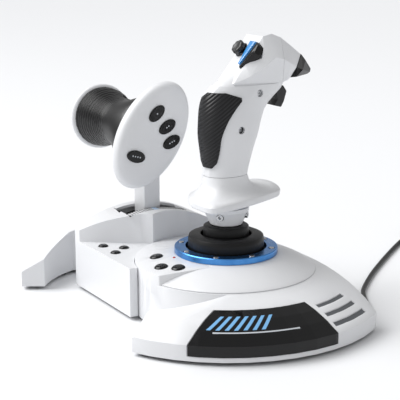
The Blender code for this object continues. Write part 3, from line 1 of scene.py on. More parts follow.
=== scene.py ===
import bpy
import bmesh
import json
import numpy as np
from math import radians, pi
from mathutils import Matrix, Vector


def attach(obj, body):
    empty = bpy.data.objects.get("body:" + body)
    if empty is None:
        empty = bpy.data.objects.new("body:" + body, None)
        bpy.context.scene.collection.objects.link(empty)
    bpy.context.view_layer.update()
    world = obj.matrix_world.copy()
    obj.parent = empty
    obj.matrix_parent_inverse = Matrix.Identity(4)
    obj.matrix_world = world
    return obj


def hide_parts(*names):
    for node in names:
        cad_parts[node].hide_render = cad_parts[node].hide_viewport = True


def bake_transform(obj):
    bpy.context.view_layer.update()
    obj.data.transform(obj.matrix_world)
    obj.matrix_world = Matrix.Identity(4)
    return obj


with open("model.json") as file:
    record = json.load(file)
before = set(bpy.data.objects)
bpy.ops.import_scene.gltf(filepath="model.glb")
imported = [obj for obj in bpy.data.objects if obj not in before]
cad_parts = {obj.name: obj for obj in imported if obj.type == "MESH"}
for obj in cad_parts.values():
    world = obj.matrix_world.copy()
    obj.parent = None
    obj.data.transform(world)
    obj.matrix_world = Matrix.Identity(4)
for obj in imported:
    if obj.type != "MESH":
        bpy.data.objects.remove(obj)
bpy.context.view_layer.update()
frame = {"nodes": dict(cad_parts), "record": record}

nodes = frame["nodes"]
joints = {joint["name"]: joint for joint in frame["record"]["behaviour"]["joints"]}
stickAt = np.array(joints["stick_pitch"]["pos_m"], float) * (1, 1, 0)  # foot of the stick's axis on the desk
scene = bpy.context.scene


def inRow(points):
    # metres in the row frame = millimetres from the stick's axis / 1000 + the axis's own place
    return np.asarray(points, float) * 0.001 + stickAt


# place in millimetres, compass and downward angles of the look in degrees, lens and sensor in millimetres
cameraSetup = {"place": (817.0, -508.3, 329.9), "azimuth": 59.4, "down": 13.7, "lens": 108.0, "sensor": 36}


def makeCamera(setup):
    # look = (-sin a cos d, cos a cos d, -sin d) for the compass angle a and the downward angle d
    a, d = radians(setup["azimuth"]), radians(setup["down"])
    look = Vector((-np.sin(a) * np.cos(d), np.cos(a) * np.cos(d), -np.sin(d)))
    camera = bpy.data.objects.new("camera", bpy.data.cameras.new("camera"))
    camera.data.lens = setup["lens"]
    camera.data.sensor_width = setup["sensor"]
    camera.location = inRow(setup["place"])
    camera.rotation_euler = look.to_track_quat("-Z", "Y").to_euler()
    scene.collection.objects.link(camera)
    scene.camera = camera


makeCamera(cameraSetup)
print("camera made")


def linear(hexColour):
    # sRGB to linear light: c / 12.92 up to 0.04045, above it ((c + 0.055) / 1.055) ^ 2.4
    rgb = np.array([int(hexColour[i:i + 2], 16) for i in (1, 3, 5)]) / 255
    flat = np.where(rgb <= 0.04045, rgb / 12.92, ((rgb + 0.055) / 1.055) ** 2.4)
    return (*flat.tolist(), 1.0)


def addNode(tree, kind, inputs=None, **settings):
    # a node, its settings, and for each input a value or the socket that feeds it
    node = tree.nodes.new(kind)
    for key, value in settings.items():
        setattr(node, key, value)
    for socket, value in (inputs or {}).items():
        if isinstance(value, bpy.types.NodeSocket):
            tree.links.new(value, node.inputs[socket])
        else:
            node.inputs[socket].default_value = value
    return node


def waveScale(spacingMm):
    # the Wave node repeats every 2 pi / (20 scale) metres, so scale = pi / 10 / spacing
    return pi / 10 * 1000 / spacingMm


def newFinish(name, sockets):
    # an empty material with its shader and output, and the object's own coordinates
    made = bpy.data.materials.new(name)
    made.use_nodes = True
    tree = made.node_tree
    tree.nodes.clear()
    shader = addNode(tree, "ShaderNodeBsdfPrincipled", sockets)
    addNode(tree, "ShaderNodeOutputMaterial", {"Surface": shader.outputs[0]})
    place = addNode(tree, "ShaderNodeTexCoord").outputs["Object"]
    return made, tree, shader, place


def noise(tree, place, scale, detail):
    # cloudy values round 0.5 whose patches are 1 / scale metres wide
    return addNode(tree, "ShaderNodeTexNoise", {"Vector": place, "Scale": scale, "Detail": detail}).outputs[0]


mixSockets = {"factor": 0, "dark": 6, "light": 7, "colour": 2}  # the Mix node's colour sockets, by number


def setColour(tree, shader, factor, dark, light):
    # colour = dark + factor * (light - dark)
    mix = addNode(tree, "ShaderNodeMix", {mixSockets["factor"]: factor, mixSockets["dark"]: linear(dark),
                                          mixSockets["light"]: linear(light)}, data_type="RGBA")
    tree.links.new(mix.outputs[mixSockets["colour"]], shader.inputs["Base Color"])


def setGloss(tree, shader, value, rough, span=(0.0, 1.0)):
    # roughness runs from rough[0] to rough[1] while the value runs over its span
    gloss = addNode(tree, "ShaderNodeMapRange", {"Value": value, "From Min": span[0], "From Max": span[1],
                                                 "To Min": rough[0], "To Max": rough[1]})
    tree.links.new(gloss.outputs[0], shader.inputs["Roughness"])


def setRelief(tree, shader, height, deepMm, strength):
    # the normal leans with the slope of height * deepMm
    bump = addNode(tree, "ShaderNodeBump",
                   {"Height": height, "Distance": deepMm / 1000, "Strength": strength})
    tree.links.new(bump.outputs[0], shader.inputs["Normal"])


# detail of a moulded skin's grain and patches, span of the grain that drives the gloss, strength of the bump
mouldSetup = {"grainDetail": 3.0, "patchDetail": 2.0, "span": (0.3, 0.7), "strength": 0.6}


def mouldedFinish(name, light, dark, rough, grainMm, bumpMm, sockets, patchMm=45.0):
    # colour = a broad noise between dark and light; roughness and height = a fine noise
    made, tree, shader, place = newFinish(name, sockets)
    grain = noise(tree, place, 1000 / grainMm, mouldSetup["grainDetail"])
    setColour(tree, shader, noise(tree, place, 1000 / patchMm, mouldSetup["patchDetail"]), dark, light)
    setGloss(tree, shader, grain, rough, mouldSetup["span"])
    setRelief(tree, shader, grain, bumpMm, mouldSetup["strength"])
    return made


# white ABS from a spark-textured mould: a fine satin
whiteAbs = mouldedFinish("whiteAbsSatin", "#E6E7E9", "#DEDFE2", rough=(0.36, 0.46), grainMm=0.6, bumpMm=0.012,
                         sockets={"IOR": 1.54, "Coat Weight": 0.06, "Coat Roughness": 0.3})
# dark grey ABS of the inlaid bars
greyAbs = mouldedFinish("greyAbsSatin", "#5B5E63", "#4E5155", rough=(0.4, 0.5), grainMm=0.6, bumpMm=0.012,
                        sockets={"IOR": 1.54})
# black ABS, satin
blackAbs = mouldedFinish("blackAbsSatin", "#131315", "#0D0D0E", rough=(0.26, 0.38), grainMm=0.7, bumpMm=0.012,
                         sockets={"IOR": 1.54})
# black ABS from a polished mould, with a faint ripple
glossAbs = mouldedFinish("blackAbsPolished", "#08080A", "#050506", rough=(0.06, 0.11), grainMm=9.0,
                         bumpMm=0.006, sockets={"IOR": 1.54, "Specular IOR Level": 0.32})
# polished blue ABS
blueAbs = mouldedFinish("blueAbsPolished", "#4E9FE0", "#2B77BE", rough=(0.1, 0.16), grainMm=6.0, bumpMm=0.006,
                        sockets={"IOR": 1.54, "Coat Weight": 0.5, "Coat Roughness": 0.05})
# moulded nitrile rubber: matte, slightly dusty
bootRubber = mouldedFinish("mouldedNitrileRubber", "#111112", "#0A0A0B", rough=(0.36, 0.5), grainMm=0.9,
                           bumpMm=0.015, sockets={"IOR": 1.52, "Specular IOR Level": 0.3})
# PVC cord jacket, extruded
cordPvc = mouldedFinish("extrudedPvcJacket", "#141415", "#0E0E0F", rough=(0.4, 0.5), grainMm=1.2, bumpMm=0.02,
                        sockets={"IOR": 1.52}, patchMm=30.0)

# clouds in a turned metal's colour, depth of its grooves in millimetres
turnedSetup = {"cloudScale": 160.0, "cloudDetail": 2.0, "deep": 0.02, "strength": 0.5}


def turnedMetal(name, light, dark, rough, grooveMm, wobble, **pattern):
    # roughness and height = a wave, grooveMm apart, round the stick's axis or along it
    made, tree, shader, place = newFinish(name, {"Metallic": 1.0})
    centre = addNode(tree, "ShaderNodeMapping", {"Vector": place, "Location": tuple(-stickAt)}).outputs[0]
    sockets = {"Vector": centre, "Scale": waveScale(grooveMm), "Distortion": wobble, "Detail": 1.0}
    grooves = addNode(tree, "ShaderNodeTexWave", sockets, **pattern).outputs["Fac"]
    cloud = noise(tree, place, turnedSetup["cloudScale"], turnedSetup["cloudDetail"])
    setColour(tree, shader, cloud, dark, light)
    setGloss(tree, shader, grooves, rough)
    setRelief(tree, shader, grooves, turnedSetup["deep"], turnedSetup["strength"])
    return made


# anodised aluminium, faced on a lathe: blue with fine rings
blueAnodised = turnedMetal("blueAnodisedAluminium", "#5C9BDC", "#3F7BBE", rough=(0.22, 0.34), grooveMm=0.7,
                           wobble=0.15, wave_type="RINGS", rings_direction="Z")
# ground and lightly brushed shaft
bareShaft = turnedMetal("brushedAluminium", "#D2D3D6", "#B9BABE", rough=(0.26, 0.4), grooveMm=0.5, wobble=0.4,
                        wave_type="BANDS", bands_direction="Z")
# zinc-plated steel of screws and springs
zincSteel = mouldedFinish("zincPlatedSteel", "#C9CACC", "#A9ABAE", rough=(0.2, 0.34), grainMm=1.5,
                          bumpMm=0.01, sockets={"Metallic": 1.0}, patchMm=6.0)

# diagonal ribs of the overmoulded grip pad: spacing and depth in millimetres, and the direction across them;
# dark is the painted shade of the grooves and light the painted highlight of the crests
padSetup = {"spacing": 2.4, "across": (-0.33, -0.55, 0.77), "deep": 0.5, "strength": 0.7, "grain": 0.12,
            "grainScale": 1200.0, "grainDetail": 2.0, "rough": (0.26, 0.4),
            "dark": "#070708", "light": "#1B1B1E"}


def makePadRubber(setup):
    # height = a sine wave on the distance across the ribs + grain * a fine noise; colour follows the same
    # wave, with painted shade in the grooves and painted highlight on the crests
    made, tree, shader, place = newFinish("ribbedGripRubber", {"IOR": 1.52, "Specular IOR Level": 0.35})
    turn = Vector(setup["across"]).rotation_difference(Vector((0, 0, 1))).to_euler()
    turned = addNode(tree, "ShaderNodeMapping", {"Vector": place, "Rotation": tuple(turn)}).outputs[0]
    ribs = addNode(tree, "ShaderNodeTexWave", {"Vector": turned, "Scale": waveScale(setup["spacing"])},
                   wave_type="BANDS", bands_direction="Z", wave_profile="SIN").outputs["Fac"]
    fine = noise(tree, place, setup["grainScale"], setup["grainDetail"])
    height = addNode(tree, "ShaderNodeMath", {0: fine, 1: setup["grain"], 2: ribs}, operation="MULTIPLY_ADD")
    # painted shade in the rib grooves and painted highlight on the rib crests
    setColour(tree, shader, ribs, setup["dark"], setup["light"])
    setGloss(tree, shader, fine, setup["rough"])
    setRelief(tree, shader, height.outputs[0], setup["deep"], setup["strength"])
    return made


# shallow ribs of the throttle's saddle: spacing, depth, and where they fade out along X, in millimetres
saddleSetup = {"spacing": 2.8, "fade": (-98, -108), "deep": 0.6, "strength": 0.8, "grain": 0.02,
               "grainScale": 1250.0, "grainDetail": 3.0, "patchScale": 30.0, "patchDetail": 2.0,
               "rough": (0.26, 0.38), "dark": "#060607", "light": "#0D0D0E"}


def makeSaddleRubber(setup):
    # height = a sine wave along X, times a ramp from 0 to 1 over the fade, + grain * a fine noise
    made, tree, shader, place = newFinish("softTouchTpe", {"IOR": 1.5, "Specular IOR Level": 0.4})
    ribs = addNode(tree, "ShaderNodeTexWave", {"Vector": place, "Scale": waveScale(setup["spacing"])},
                   wave_type="BANDS", bands_direction="X", wave_profile="SIN").outputs["Fac"]
    alongX = addNode(tree, "ShaderNodeSeparateXYZ", {"Vector": place}).outputs[0]
    fadeFrom, fadeTo = [stickAt[0] + x / 1000 for x in setup["fade"]]
    fade = addNode(tree, "ShaderNodeMapRange", {"Value": alongX, "From Min": fadeFrom, "From Max": fadeTo})
    fine = noise(tree, place, setup["grainScale"], setup["grainDetail"])
    faded = addNode(tree, "ShaderNodeMath", {0: ribs, 1: fade.outputs[0]}, operation="MULTIPLY").outputs[0]
    height = addNode(tree, "ShaderNodeMath", {0: fine, 1: setup["grain"], 2: faded}, operation="MULTIPLY_ADD")
    setColour(tree, shader, noise(tree, place, setup["patchScale"], setup["patchDetail"]),
              setup["dark"], setup["light"])
    setGloss(tree, shader, fine, setup["rough"])
    setRelief(tree, shader, height.outputs[0], setup["deep"], setup["strength"])
    return made


ribbedRubber = makePadRubber(padSetup)
gripTpe = makeSaddleRubber(saddleSetup)
# pad-printed inks and the moulded red lens
paleInk = mouldedFinish("padPrintedPaleInk", "#C9CDD2", "#BCC1C8", rough=(0.45, 0.55), grainMm=0.5,
                        bumpMm=0.004, sockets={"IOR": 1.5})
skyInk = mouldedFinish("padPrintedBlueInk", "#7DB7E6", "#6AA8DC", rough=(0.4, 0.5), grainMm=0.5, bumpMm=0.004,
                       sockets={"IOR": 1.5})
redLens = mouldedFinish("redAcrylicLens", "#C8201C", "#A81512", rough=(0.08, 0.14), grainMm=2.0, bumpMm=0.004,
                        sockets={"IOR": 1.49})
finishOf = {"white_plastic": whiteAbs, "grey_plastic": greyAbs, "black_plastic": blackAbs,
            "gloss_black": glossAbs, "black_rubber": bootRubber, "blue_anodised": blueAnodised,
            "blue_plastic": blueAbs, "steel": zincSteel, "silver_shaft": bareShaft, "cable": cordPvc}
slotOf = {entry["node"]: entry["material_slot"] for entry in frame["record"]["subparts"]}
bodyOf = {node: body for body, group in frame["record"]["behaviour"]["bodies"].items() for node in group}
for name, node in nodes.items():
    node.data.materials.clear()
    node.data.materials.append(finishOf[slotOf[name]])
print("finishes made")

weldNew = 0.000002  # metres between points that become one, in a new surface
weldCopy = 0.000005  # the same in a copy of a solid


def closedGrid(grid):
    # quads (r, c), (r, c + 1), (r + 1, c + 1), (r + 1, c), c closing into a loop, and one face at each end
    grid = np.asarray(grid, float)
    rows, columns = grid.shape[:2]
    r = np.arange(rows - 1)[:, None] + np.zeros(columns, int)
    c = np.arange(columns)[None, :] + np.zeros_like(r)
    on = (c + 1) % columns
    quads = np.stack([r * columns + c, r * columns + on, (r + 1) * columns + on, (r + 1) * columns + c], -1)
    ends = [list(range(columns)), list(range((rows - 1) * columns, rows * columns))]
    return grid.reshape(-1, 3), quads.reshape(-1, 4).tolist() + ends


def addPiece(name, surfaces, finish, body, replaced=(), crease=35):
    # closed surfaces one after another in one mesh, each one's face numbers moved on by the points before it
    points, faces, start = [], [], 0
    for p, f in surfaces:
        points.append(p)
        faces += [[i + start for i in face] for face in f]
        start += len(p)
    mesh = bpy.data.meshes.new(name)
    mesh.from_pydata(inRow(np.concatenate(points)).tolist(), [], faces)
    work = bmesh.new()
    work.from_mesh(mesh)
    bmesh.ops.remove_doubles(work, verts=work.verts, dist=weldNew)
    bmesh.ops.recalc_face_normals(work, faces=work.faces)
    work.to_mesh(mesh)
    work.free()
    return filed(bpy.data.objects.new(name, mesh), finish, body, replaced, crease)


def filed(piece, finish, body, replaced=(), crease=35):
    # smooth faces, sharp where they meet at more than the crease; rides one body, or is baked in place and
    # rides none when given a tuple
    scene.collection.objects.link(piece)
    piece.data.materials.clear()
    piece.data.materials.append(finish)
    if piece.type == "MESH":
        piece.data.shade_smooth()
        piece.data.set_sharp_from_angle(angle=radians(crease))
    if isinstance(body, tuple):
        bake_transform(piece)
    else:
        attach(piece, body)
    if replaced:
        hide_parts(*replaced)
    return piece


# the boot's two tiers, each with the body at its foot, the body at its top and their places; these are not
# read, and the tiers' copies are baked in place and ride no body
bending = {"boot_lower": ("base", "yoke", (0, 0, 58.0), (0, 0, 67.0)),
           "boot_upper": ("yoke", "stick", (0, 0, 66.5), (0, 0, 75.0))}
# degrees between faces that merge into one flat, and between faces whose edge is rounded
copySetup = {"flat": 0.5, "angle": 28}


def roundedCopy(node, width, segments=2, finish=None, flatten=True):
    # the solid of a CAD node with each edge sharper than the angle rounded over the width in millimetres
    mesh = nodes[node].data.copy()
    work = bmesh.new()
    work.from_mesh(mesh)
    bmesh.ops.remove_doubles(work, verts=work.verts, dist=weldCopy)
    if flatten:
        bmesh.ops.dissolve_limit(work, angle_limit=radians(copySetup["flat"]), verts=work.verts,
                                 edges=work.edges)
    work.to_mesh(mesh)
    work.free()
    piece = bpy.data.objects.new(node + "_finished", mesh)
    filed(piece, finish or finishOf[slotOf[node]], bending.get(node, bodyOf[node]), (node,))
    if width:
        bevel = piece.modifiers.new("edges", "BEVEL")
        bevel.width = width / 1000
        bevel.segments = segments
        bevel.limit_method = "ANGLE"
        bevel.angle_limit = radians(copySetup["angle"])
        bevel.harden_normals = False
        bevel.use_clamp_overlap = True
    return piece


def through(table, at):
    # cubic between a table's rows: (2t^3 - 3t^2 + 1) y0 + (t^3 - 2t^2 + t) h m0 + (3t^2 - 2t^3) y1
    # + (t^3 - t^2) h m1, with h the step, t the share of it and the slopes m taken from the rows on each side
    table = np.asarray(table, float)
    x, y = table[:, 0], table[:, 1:]
    slopes = np.gradient(y, x, axis=0)
    at = np.clip(np.asarray(at, float), x[0], x[-1])
    k = np.clip(np.searchsorted(x, at) - 1, 0, len(x) - 2)
    h = (x[k + 1] - x[k])[..., None]
    t = ((at - x[k])[..., None]) / h
    return ((2 * t ** 3 - 3 * t ** 2 + 1) * y[k] + (t ** 3 - 2 * t ** 2 + t) * h * slopes[k]
            + (3 * t ** 2 - 2 * t ** 3) * y[k + 1] + (t ** 3 - t ** 2) * h * slopes[k + 1])


def fullTurn(count):
    # angles of a whole turn without its end
    return np.linspace(0, 2 * pi, count, endpoint=False)


pole = 0.01  # radius in millimetres that stands for a point on the axis


def revolved(profile, centre, count, along="Z"):
    # (r cos a, r sin a, height) for each (radius, height) of the profile and each angle a
    profile = np.asarray(profile, float)
    a = fullTurn(count)
    r, z = np.maximum(profile[:, 0], pole)[:, None], profile[:, 1][:, None]
    grid = np.stack([r * np.cos(a), r * np.sin(a), z + 0 * a], -1)
    if along == "X":
        grid = grid[..., [2, 0, 1]]
    return closedGrid(grid + np.array(centre))


# USB cord: out of the gland, over the desk, then a round coil of the rest, and its plug
cordSetup = {
    "diameter": 4.0, "length": 1.83, "exit": (58.0, 89.7, 8.5),
    "route": [(58, 89.7, 8.5), (58, 98.5, 8.4), (54.5, 106, 5.2), (46, 112.5, 2.8), (34, 120, 2.3),
              (18.8, 132, 2.2), (-9, 162, 2.2), (-36, 195, 2.2), (-61, 227.5, 2.2), (-83.6, 258.6, 2.2),
              (-100, 287, 2.2)],
    "coil": (-83.0205, 314.588), "turns": 11.167, "startsAt": 210,
    # radius and height of each turn, in the order that the cord fills them
    "slots": [(28.5, 2.2), (24.5, 2.2), (20.5, 2.2), (16.5, 2.2), (16.5, 6.2), (16.5, 10.2), (20.5, 10.2),
              (20.5, 6.2), (24.5, 6.2), (24.5, 10.2), (28.3, 10.2), (28.0, 6.2)],
    # height over the distance from the coil's end to the plug
    "plugDrop": [(0, 6.2), (6, 6.1), (11, 5.6), (17.2, 4.4)],
    "samples": 2000, "loosePoints": 38, "pointsPerTurn": 28, "plugPoints": 6, "bevelSteps": 4}


def cordLine(setup):
    # loose stretch: a cubic through the route at even steps. Coil: centre + radius * (cos a, sin a), where
    # radius and height move to the next slot over the second half of each turn. Then straight on to the plug.
    route = np.array(setup["route"], float)
    table = np.column_stack([np.arange(len(route)), route])
    fine = through(table, np.linspace(0, len(route) - 1, setup["samples"]))
    run = np.concatenate([[0], np.cumsum(np.linalg.norm(np.diff(fine, axis=0), axis=1))])
    at = np.linspace(0, run[-1], setup["loosePoints"])
    loose = np.stack([np.interp(at, run, fine[:, i]) for i in range(3)], -1)
    slots = np.array(setup["slots"], float)
    u = np.linspace(0, setup["turns"], int(setup["turns"] * setup["pointsPerTurn"]))
    k = np.minimum(np.floor(u).astype(int), len(slots) - 2)
    t = np.clip((u - k - 0.5) / 0.5, 0, 1)
    place = slots[k] + (slots[k + 1] - slots[k]) * (t * t * (3 - 2 * t))[:, None]
    a = np.radians(setup["startsAt"]) - 2 * pi * u
    coil = np.column_stack([setup["coil"][0] + place[:, 0] * np.cos(a),
                            setup["coil"][1] + place[:, 0] * np.sin(a), place[:, 1]])
    end = a[-1]
    s = np.linspace(0, setup["plugDrop"][-1][0], setup["plugPoints"])[1:]
    tail = np.column_stack([coil[-1, 0] + s * np.sin(end), coil[-1, 1] - s * np.cos(end),
                            through(setup["plugDrop"], s)[:, 0]])
    return np.concatenate([loose, coil, tail])


def makeCord(setup):
    # a round section carried along the cord's line
    points = inRow(cordLine(setup))
    curve = bpy.data.curves.new("usbCord", "CURVE")
    curve.dimensions = "3D"
    curve.bevel_depth = setup["diameter"] / 2000
    curve.bevel_resolution = setup["bevelSteps"]
    curve.use_fill_caps = True
    line = curve.splines.new("POLY")
    line.points.add(len(points) - 1)
    line.points.foreach_set("co", np.column_stack([points, np.ones(len(points))]).ravel())
    line.use_smooth = True
    print("cord length", round(float(np.linalg.norm(np.diff(points, axis=0), axis=1).sum()), 4))
    return filed(bpy.data.objects.new("usbCord", curve), cordPvc, "base", ("usb_cord", "cord_coil"))


cord = makeCord(cordSetup)
plugParts = [roundedCopy("usb_plug", 0.5), roundedCopy("usb_plug_shell", 0.2, segments=1)]
print("cord laid")

# ovals that follow each other along X, all leaning with the palm: place along X, and share of each half axis
shieldSetup = {"centre": (-38.0, 144.0), "half": (48.5, 30.0), "lean": 58.5, "rows": 46, "round": 96,
               "stops": [(-71.5, 0.775, 0.79), (-68, 0.86, 0.87), (-64, 0.955, 0.958), (-60.5, 1.0, 1.0),
                         (-57.5, 0.99, 0.985), (-55, 0.95, 0.935), (-53.6, 0.88, 0.85), (-52.9, 0.76, 0.72),
                         (-52.45, 0.5, 0.45), (-52.3, 0.02, 0.02)]}


def leaning(x, u, v, centre, lean):
    # (x, u cos b - v sin b, u sin b + v cos b) round the centre in the Y Z plane, for the lean b in degrees
    b = radians(lean)
    y = centre[0] + u * np.cos(b) - v * np.sin(b)
    z = centre[1] + u * np.sin(b) + v * np.cos(b)
    return np.stack([x, y, z], -1)


def makeShield(setup):
    # ovals (long cos a, short sin a) whose place along X and half axes run smoothly through the stops
    stops = np.array(setup["stops"])
    rows = through(np.column_stack([np.linspace(0, 1, len(stops)), stops]), np.linspace(0, 1, setup["rows"]))
    shares = np.clip(rows[:, 1:], setup["stops"][-1][1], 1)
    a = fullTurn(setup["round"])
    long = setup["half"][0] * shares[:, :1] * np.cos(a)
    short = setup["half"][1] * shares[:, 1:] * np.sin(a)
    grid = leaning(rows[:, :1] + 0 * a, long, short, setup["centre"], setup["lean"])
    addPiece("throttleShieldShell", [closedGrid(grid)], whiteAbs, "lever", ("throttle_shield",), crease=60)


# place on the palm, lean in degrees, and how many dots mark it
thumbButtons = [((-36.0, 163.0), 40, 1), ((-26.2, 151.0), 30, 2), ((-22.2, 137.6), 24, 3),
                ((-56.0, 128.5), -16, 4)]
# half axes, places of face and foot along X, radius of the rim, depth of the dish, dot as (radius, height)
thumbSetup = {"half": (8.6, 5.2), "face": -51.0, "low": -58.5, "edge": 0.9, "sunk": 0.25, "round": 64,
              "foot": 0.3, "rimSteps": 7, "dish": (1.8, 2.8, 3.8, 4.6, 5.1), "dotPitch": 2.3, "dotRound": 16,
              "dot": [(pole, -0.2), (0.62, -0.2), (0.62, -0.08), (0.5, 0.02), (pole, 0.04)]}


def makeThumbButton(number, place, lean, dots, setup):
    # ovals drawn in by d at each row: the rim is a quarter circle, the dish sinks with 1 - (distance out)^2
    face, edge, half = setup["face"], setup["edge"], setup["half"]
    a = fullTurn(setup["round"])
    turn = np.radians(np.linspace(0, 90, setup["rimSteps"]))
    rows = [(setup["low"], setup["foot"]), (setup["low"], 0.0)]
    rows += [(face - edge * (1 - np.sin(t)), edge * (1 - np.cos(t))) for t in turn]
    rows += [(face - setup["sunk"] * (1 - ((half[1] - d) / (half[1] - edge)) ** 2), d) for d in setup["dish"]]
    x, d = np.array(rows).T[:, :, None]
    u = (half[0] - d * half[0] / half[1]) * np.cos(a)
    v = (half[1] - d) * np.sin(a)
    addPiece(f"thumbButton{number}", [closedGrid(leaning(x + 0 * a, u, v, place, lean))], glossAbs,
             f"grip_button_{number}", (f"throttle_grip_button_{number}",), crease=50)
    profile = [(radius, face + high) for radius, high in setup["dot"]]
    across = (np.arange(dots) - (dots - 1) / 2) * setup["dotPitch"]
    centres = leaning(0 * across, across, 0 * across, place, lean)
    marks = [revolved(profile, centre, setup["dotRound"], "X") for centre in centres]
    addPiece(f"thumbButtonDots{number}", marks, paleInk, f"grip_button_{number}")


makeShield(shieldSetup)
for number, (place, lean, dots) in enumerate(thumbButtons, 1):
    makeThumbButton(number, place, lean, dots, thumbSetup)
print("shield made")

# hat switch: profile as (radius, height), and how far the flats draw in what lies outside the rim's radius
hatSetup = {"pivot": (-6.5, 17.53, 217.86), "axis": (0, -0.80195, 0.59739), "sides": 8, "flats": 0.045,
            "rim": 3.3, "round": 96,
            "profile": [(pole, -1.0), (3.0, -1.0), (3.0, 0.9), (3.2, 1.3), (5.5, 1.7), (6.1, 2.3), (6.2, 4.2),
                        (5.7, 5.2), (4.3, 5.7), (3.6, 5.5), (pole, 5.2)]}


def makeHat(setup):
    # radius = profile * (1 - flats * (1 - cos(sides * a))) outside the rim's radius, turned to the hat's axis
    profile = np.array(setup["profile"], float)
    a = fullTurn(setup["round"])
    flats = 1 - setup["flats"] * (1 - np.cos(setup["sides"] * a))
    r = profile[:, :1] * np.where(profile[:, :1] > setup["rim"], flats, 1)
    turn = np.array(Vector(setup["axis"]).to_track_quat("Z", "Y").to_matrix())
    grid = np.stack([r * np.cos(a), r * np.sin(a), profile[:, 1:] + 0 * a], -1) @ turn.T
    cap = closedGrid(grid + np.array(setup["pivot"]))
    addPiece("hatCap", [cap], blackAbs, "hat", ("hat_switch",), crease=50)


makeHat(hatSetup)
print("hat made")

# screw heads in the handle's wells: places in Y and Z, floor along X, profile as (radius, height from it)
wellSetup = {"places": [(21.5, 184.5), (3.5, 156.0)], "floor": 14.0, "round": 32,
             "profile": [(pole, -1.5), (3.1, -1.5), (3.1, 0), (2.4, 0.3), (1.0, 0.3), (0.9, -0.4),
                         (pole, -0.4)]}


def makeWells(setup):
    # the profile turned about X at each place
    profile = [(radius, setup["floor"] + high) for radius, high in setup["profile"]]
    floors = [revolved(profile, (0, y, z), setup["round"], "X") for y, z in setup["places"]]
    addPiece("screwWellFloors", floors, zincSteel, "grip")


makeWells(wellSetup)
# the button deck is a shallow cone: height at its outer radius, and its rise over its width
deckSetup = {"low": 46.5, "rise": 5, "outer": 76, "width": 32.5}
# red marker light on the deck: place in X and Y, profile as (radius, height off the deck)
lightSetup = {"place": (-7.0, -45.5), "round": 24,
              "profile": [(pole, -2.0), (1.05, -2.0), (1.05, 0.1), (0.8, 0.5), (pole, 0.65)]}


def makeLight(setup):
    # the profile turned about Z, standing at the deck's height = low + rise * (outer - r) / width
    r = np.hypot(*setup["place"])
    high = deckSetup["low"] + deckSetup["rise"] * (deckSetup["outer"] - r) / deckSetup["width"]
    light = revolved(setup["profile"], (*setup["place"], high), setup["round"])
    addPiece("markerLight", [light], redLens, "base")


makeLight(lightSetup)
# the throttle's hump is part of a cylinder along X
humpSetup = {"axisHigh": -40, "axisBack": -22, "radius": 112.0}
# squares beside the lever: their rows in X, their run in Y, size, depth in the skin and height above it
scaleSetup = {"rows": (-89.5, -86.7, -83.9), "from": -46.0, "to": 11.0, "step": 2.5, "tile": (1.5, 1.3),
              "deep": 0.9, "proud": 0.12, "middle": -20.0, "middleHalf": 3}


def thinBoxes(centres, size, deep):
    # corners at centre + (-1 or 1) * size / 2, from the top height of each centre down by the depth
    centres = np.asarray(centres, float)
    corners = np.array([(-1, -1), (1, -1), (1, 1), (-1, 1)]) * np.array(size) / 2
    ring = centres[:, None, :2] + corners[None]
    top = np.broadcast_to(centres[:, None, 2:], ring[..., :1].shape)
    low = np.concatenate([ring, top - deep], -1)
    high = np.concatenate([ring, top], -1)
    return [closedGrid(np.stack([l, h])) for l, h in zip(low, high)]


def makeScale(setup):
    # squares on the hump, at the height axisHigh + sqrt(radius^2 - (y - axisBack)^2), the middle ones blue
    run = np.arange(setup["from"], setup["to"], setup["step"])
    y, x = [values.ravel() for values in np.meshgrid(run, setup["rows"])]
    z = humpSetup["axisHigh"] + np.sqrt(humpSetup["radius"] ** 2 - (y - humpSetup["axisBack"]) ** 2)
    tiles = np.column_stack([x, y, z + setup["proud"]])
    isMiddle = np.abs(y - setup["middle"]) < setup["middleHalf"]
    addPiece("scaleMarks", thinBoxes(tiles[~isMiddle], setup["tile"], setup["deep"]), blackAbs, "base")
    addPiece("scaleMiddle", thinBoxes(tiles[isMiddle], setup["tile"], setup["deep"]), skyInk, "base")


makeScale(scaleSetup)
# height of the crescent's skin over the distance from the stick's axis
crescentCrown = np.array([(75.5, 38.5), (86, 36.2), (97, 32.8), (108, 28.5), (119, 22.8), (126.5, 17.8),
                          (130, 15.5)])
# slanted bars and a line on the plate: polar angles in degrees, radii, height above the skin and thickness
stripeSetup = {"from": -34.0, "step": 3.4, "count": 7, "wide": 1.5, "slant": -5.0, "bar": (117.5, 104.5),
               "line": (119.3, 120.3), "lineFrom": -36.5, "lineTo": -4.0, "proud": 0.5, "thick": 1.2,
               "rows": 8, "degreesPerStep": 1.5}


def stripe(radii, start, end, slant, setup):
    # (r cos a, r sin a, crown(r) + proud) between two polar angles, turned by the slant at the first radius
    # and by nothing at the last
    r = np.linspace(*radii, setup["rows"])
    drift = np.linspace(slant, 0, setup["rows"])
    z = np.interp(r, crescentCrown[:, 0], crescentCrown[:, 1]) + setup["proud"]
    count = max(2, int((end - start) / setup["degreesPerStep"]) + 2)
    a = np.radians(np.linspace(start, end, count)[None, :] + drift[:, None])
    top = np.stack([r[:, None] * np.cos(a), r[:, None] * np.sin(a), z[:, None] + 0 * a], -1)
    return closedGrid(np.concatenate([top, (top - (0, 0, setup["thick"]))[:, ::-1]], 1))


def makeStripes(setup):
    # one bar at each step, and the line outside them
    starts = [setup["from"] + i * setup["step"] for i in range(setup["count"])]
    bars = [stripe(setup["bar"], start, start + setup["wide"], setup["slant"], setup) for start in starts]
    line = stripe(setup["line"], setup["lineFrom"], setup["lineTo"], 0.0, setup)
    addPiece("plateStripes", bars, skyInk, "base")
    addPiece("plateLine", [line], paleInk, "base")


makeStripes(stripeSetup)
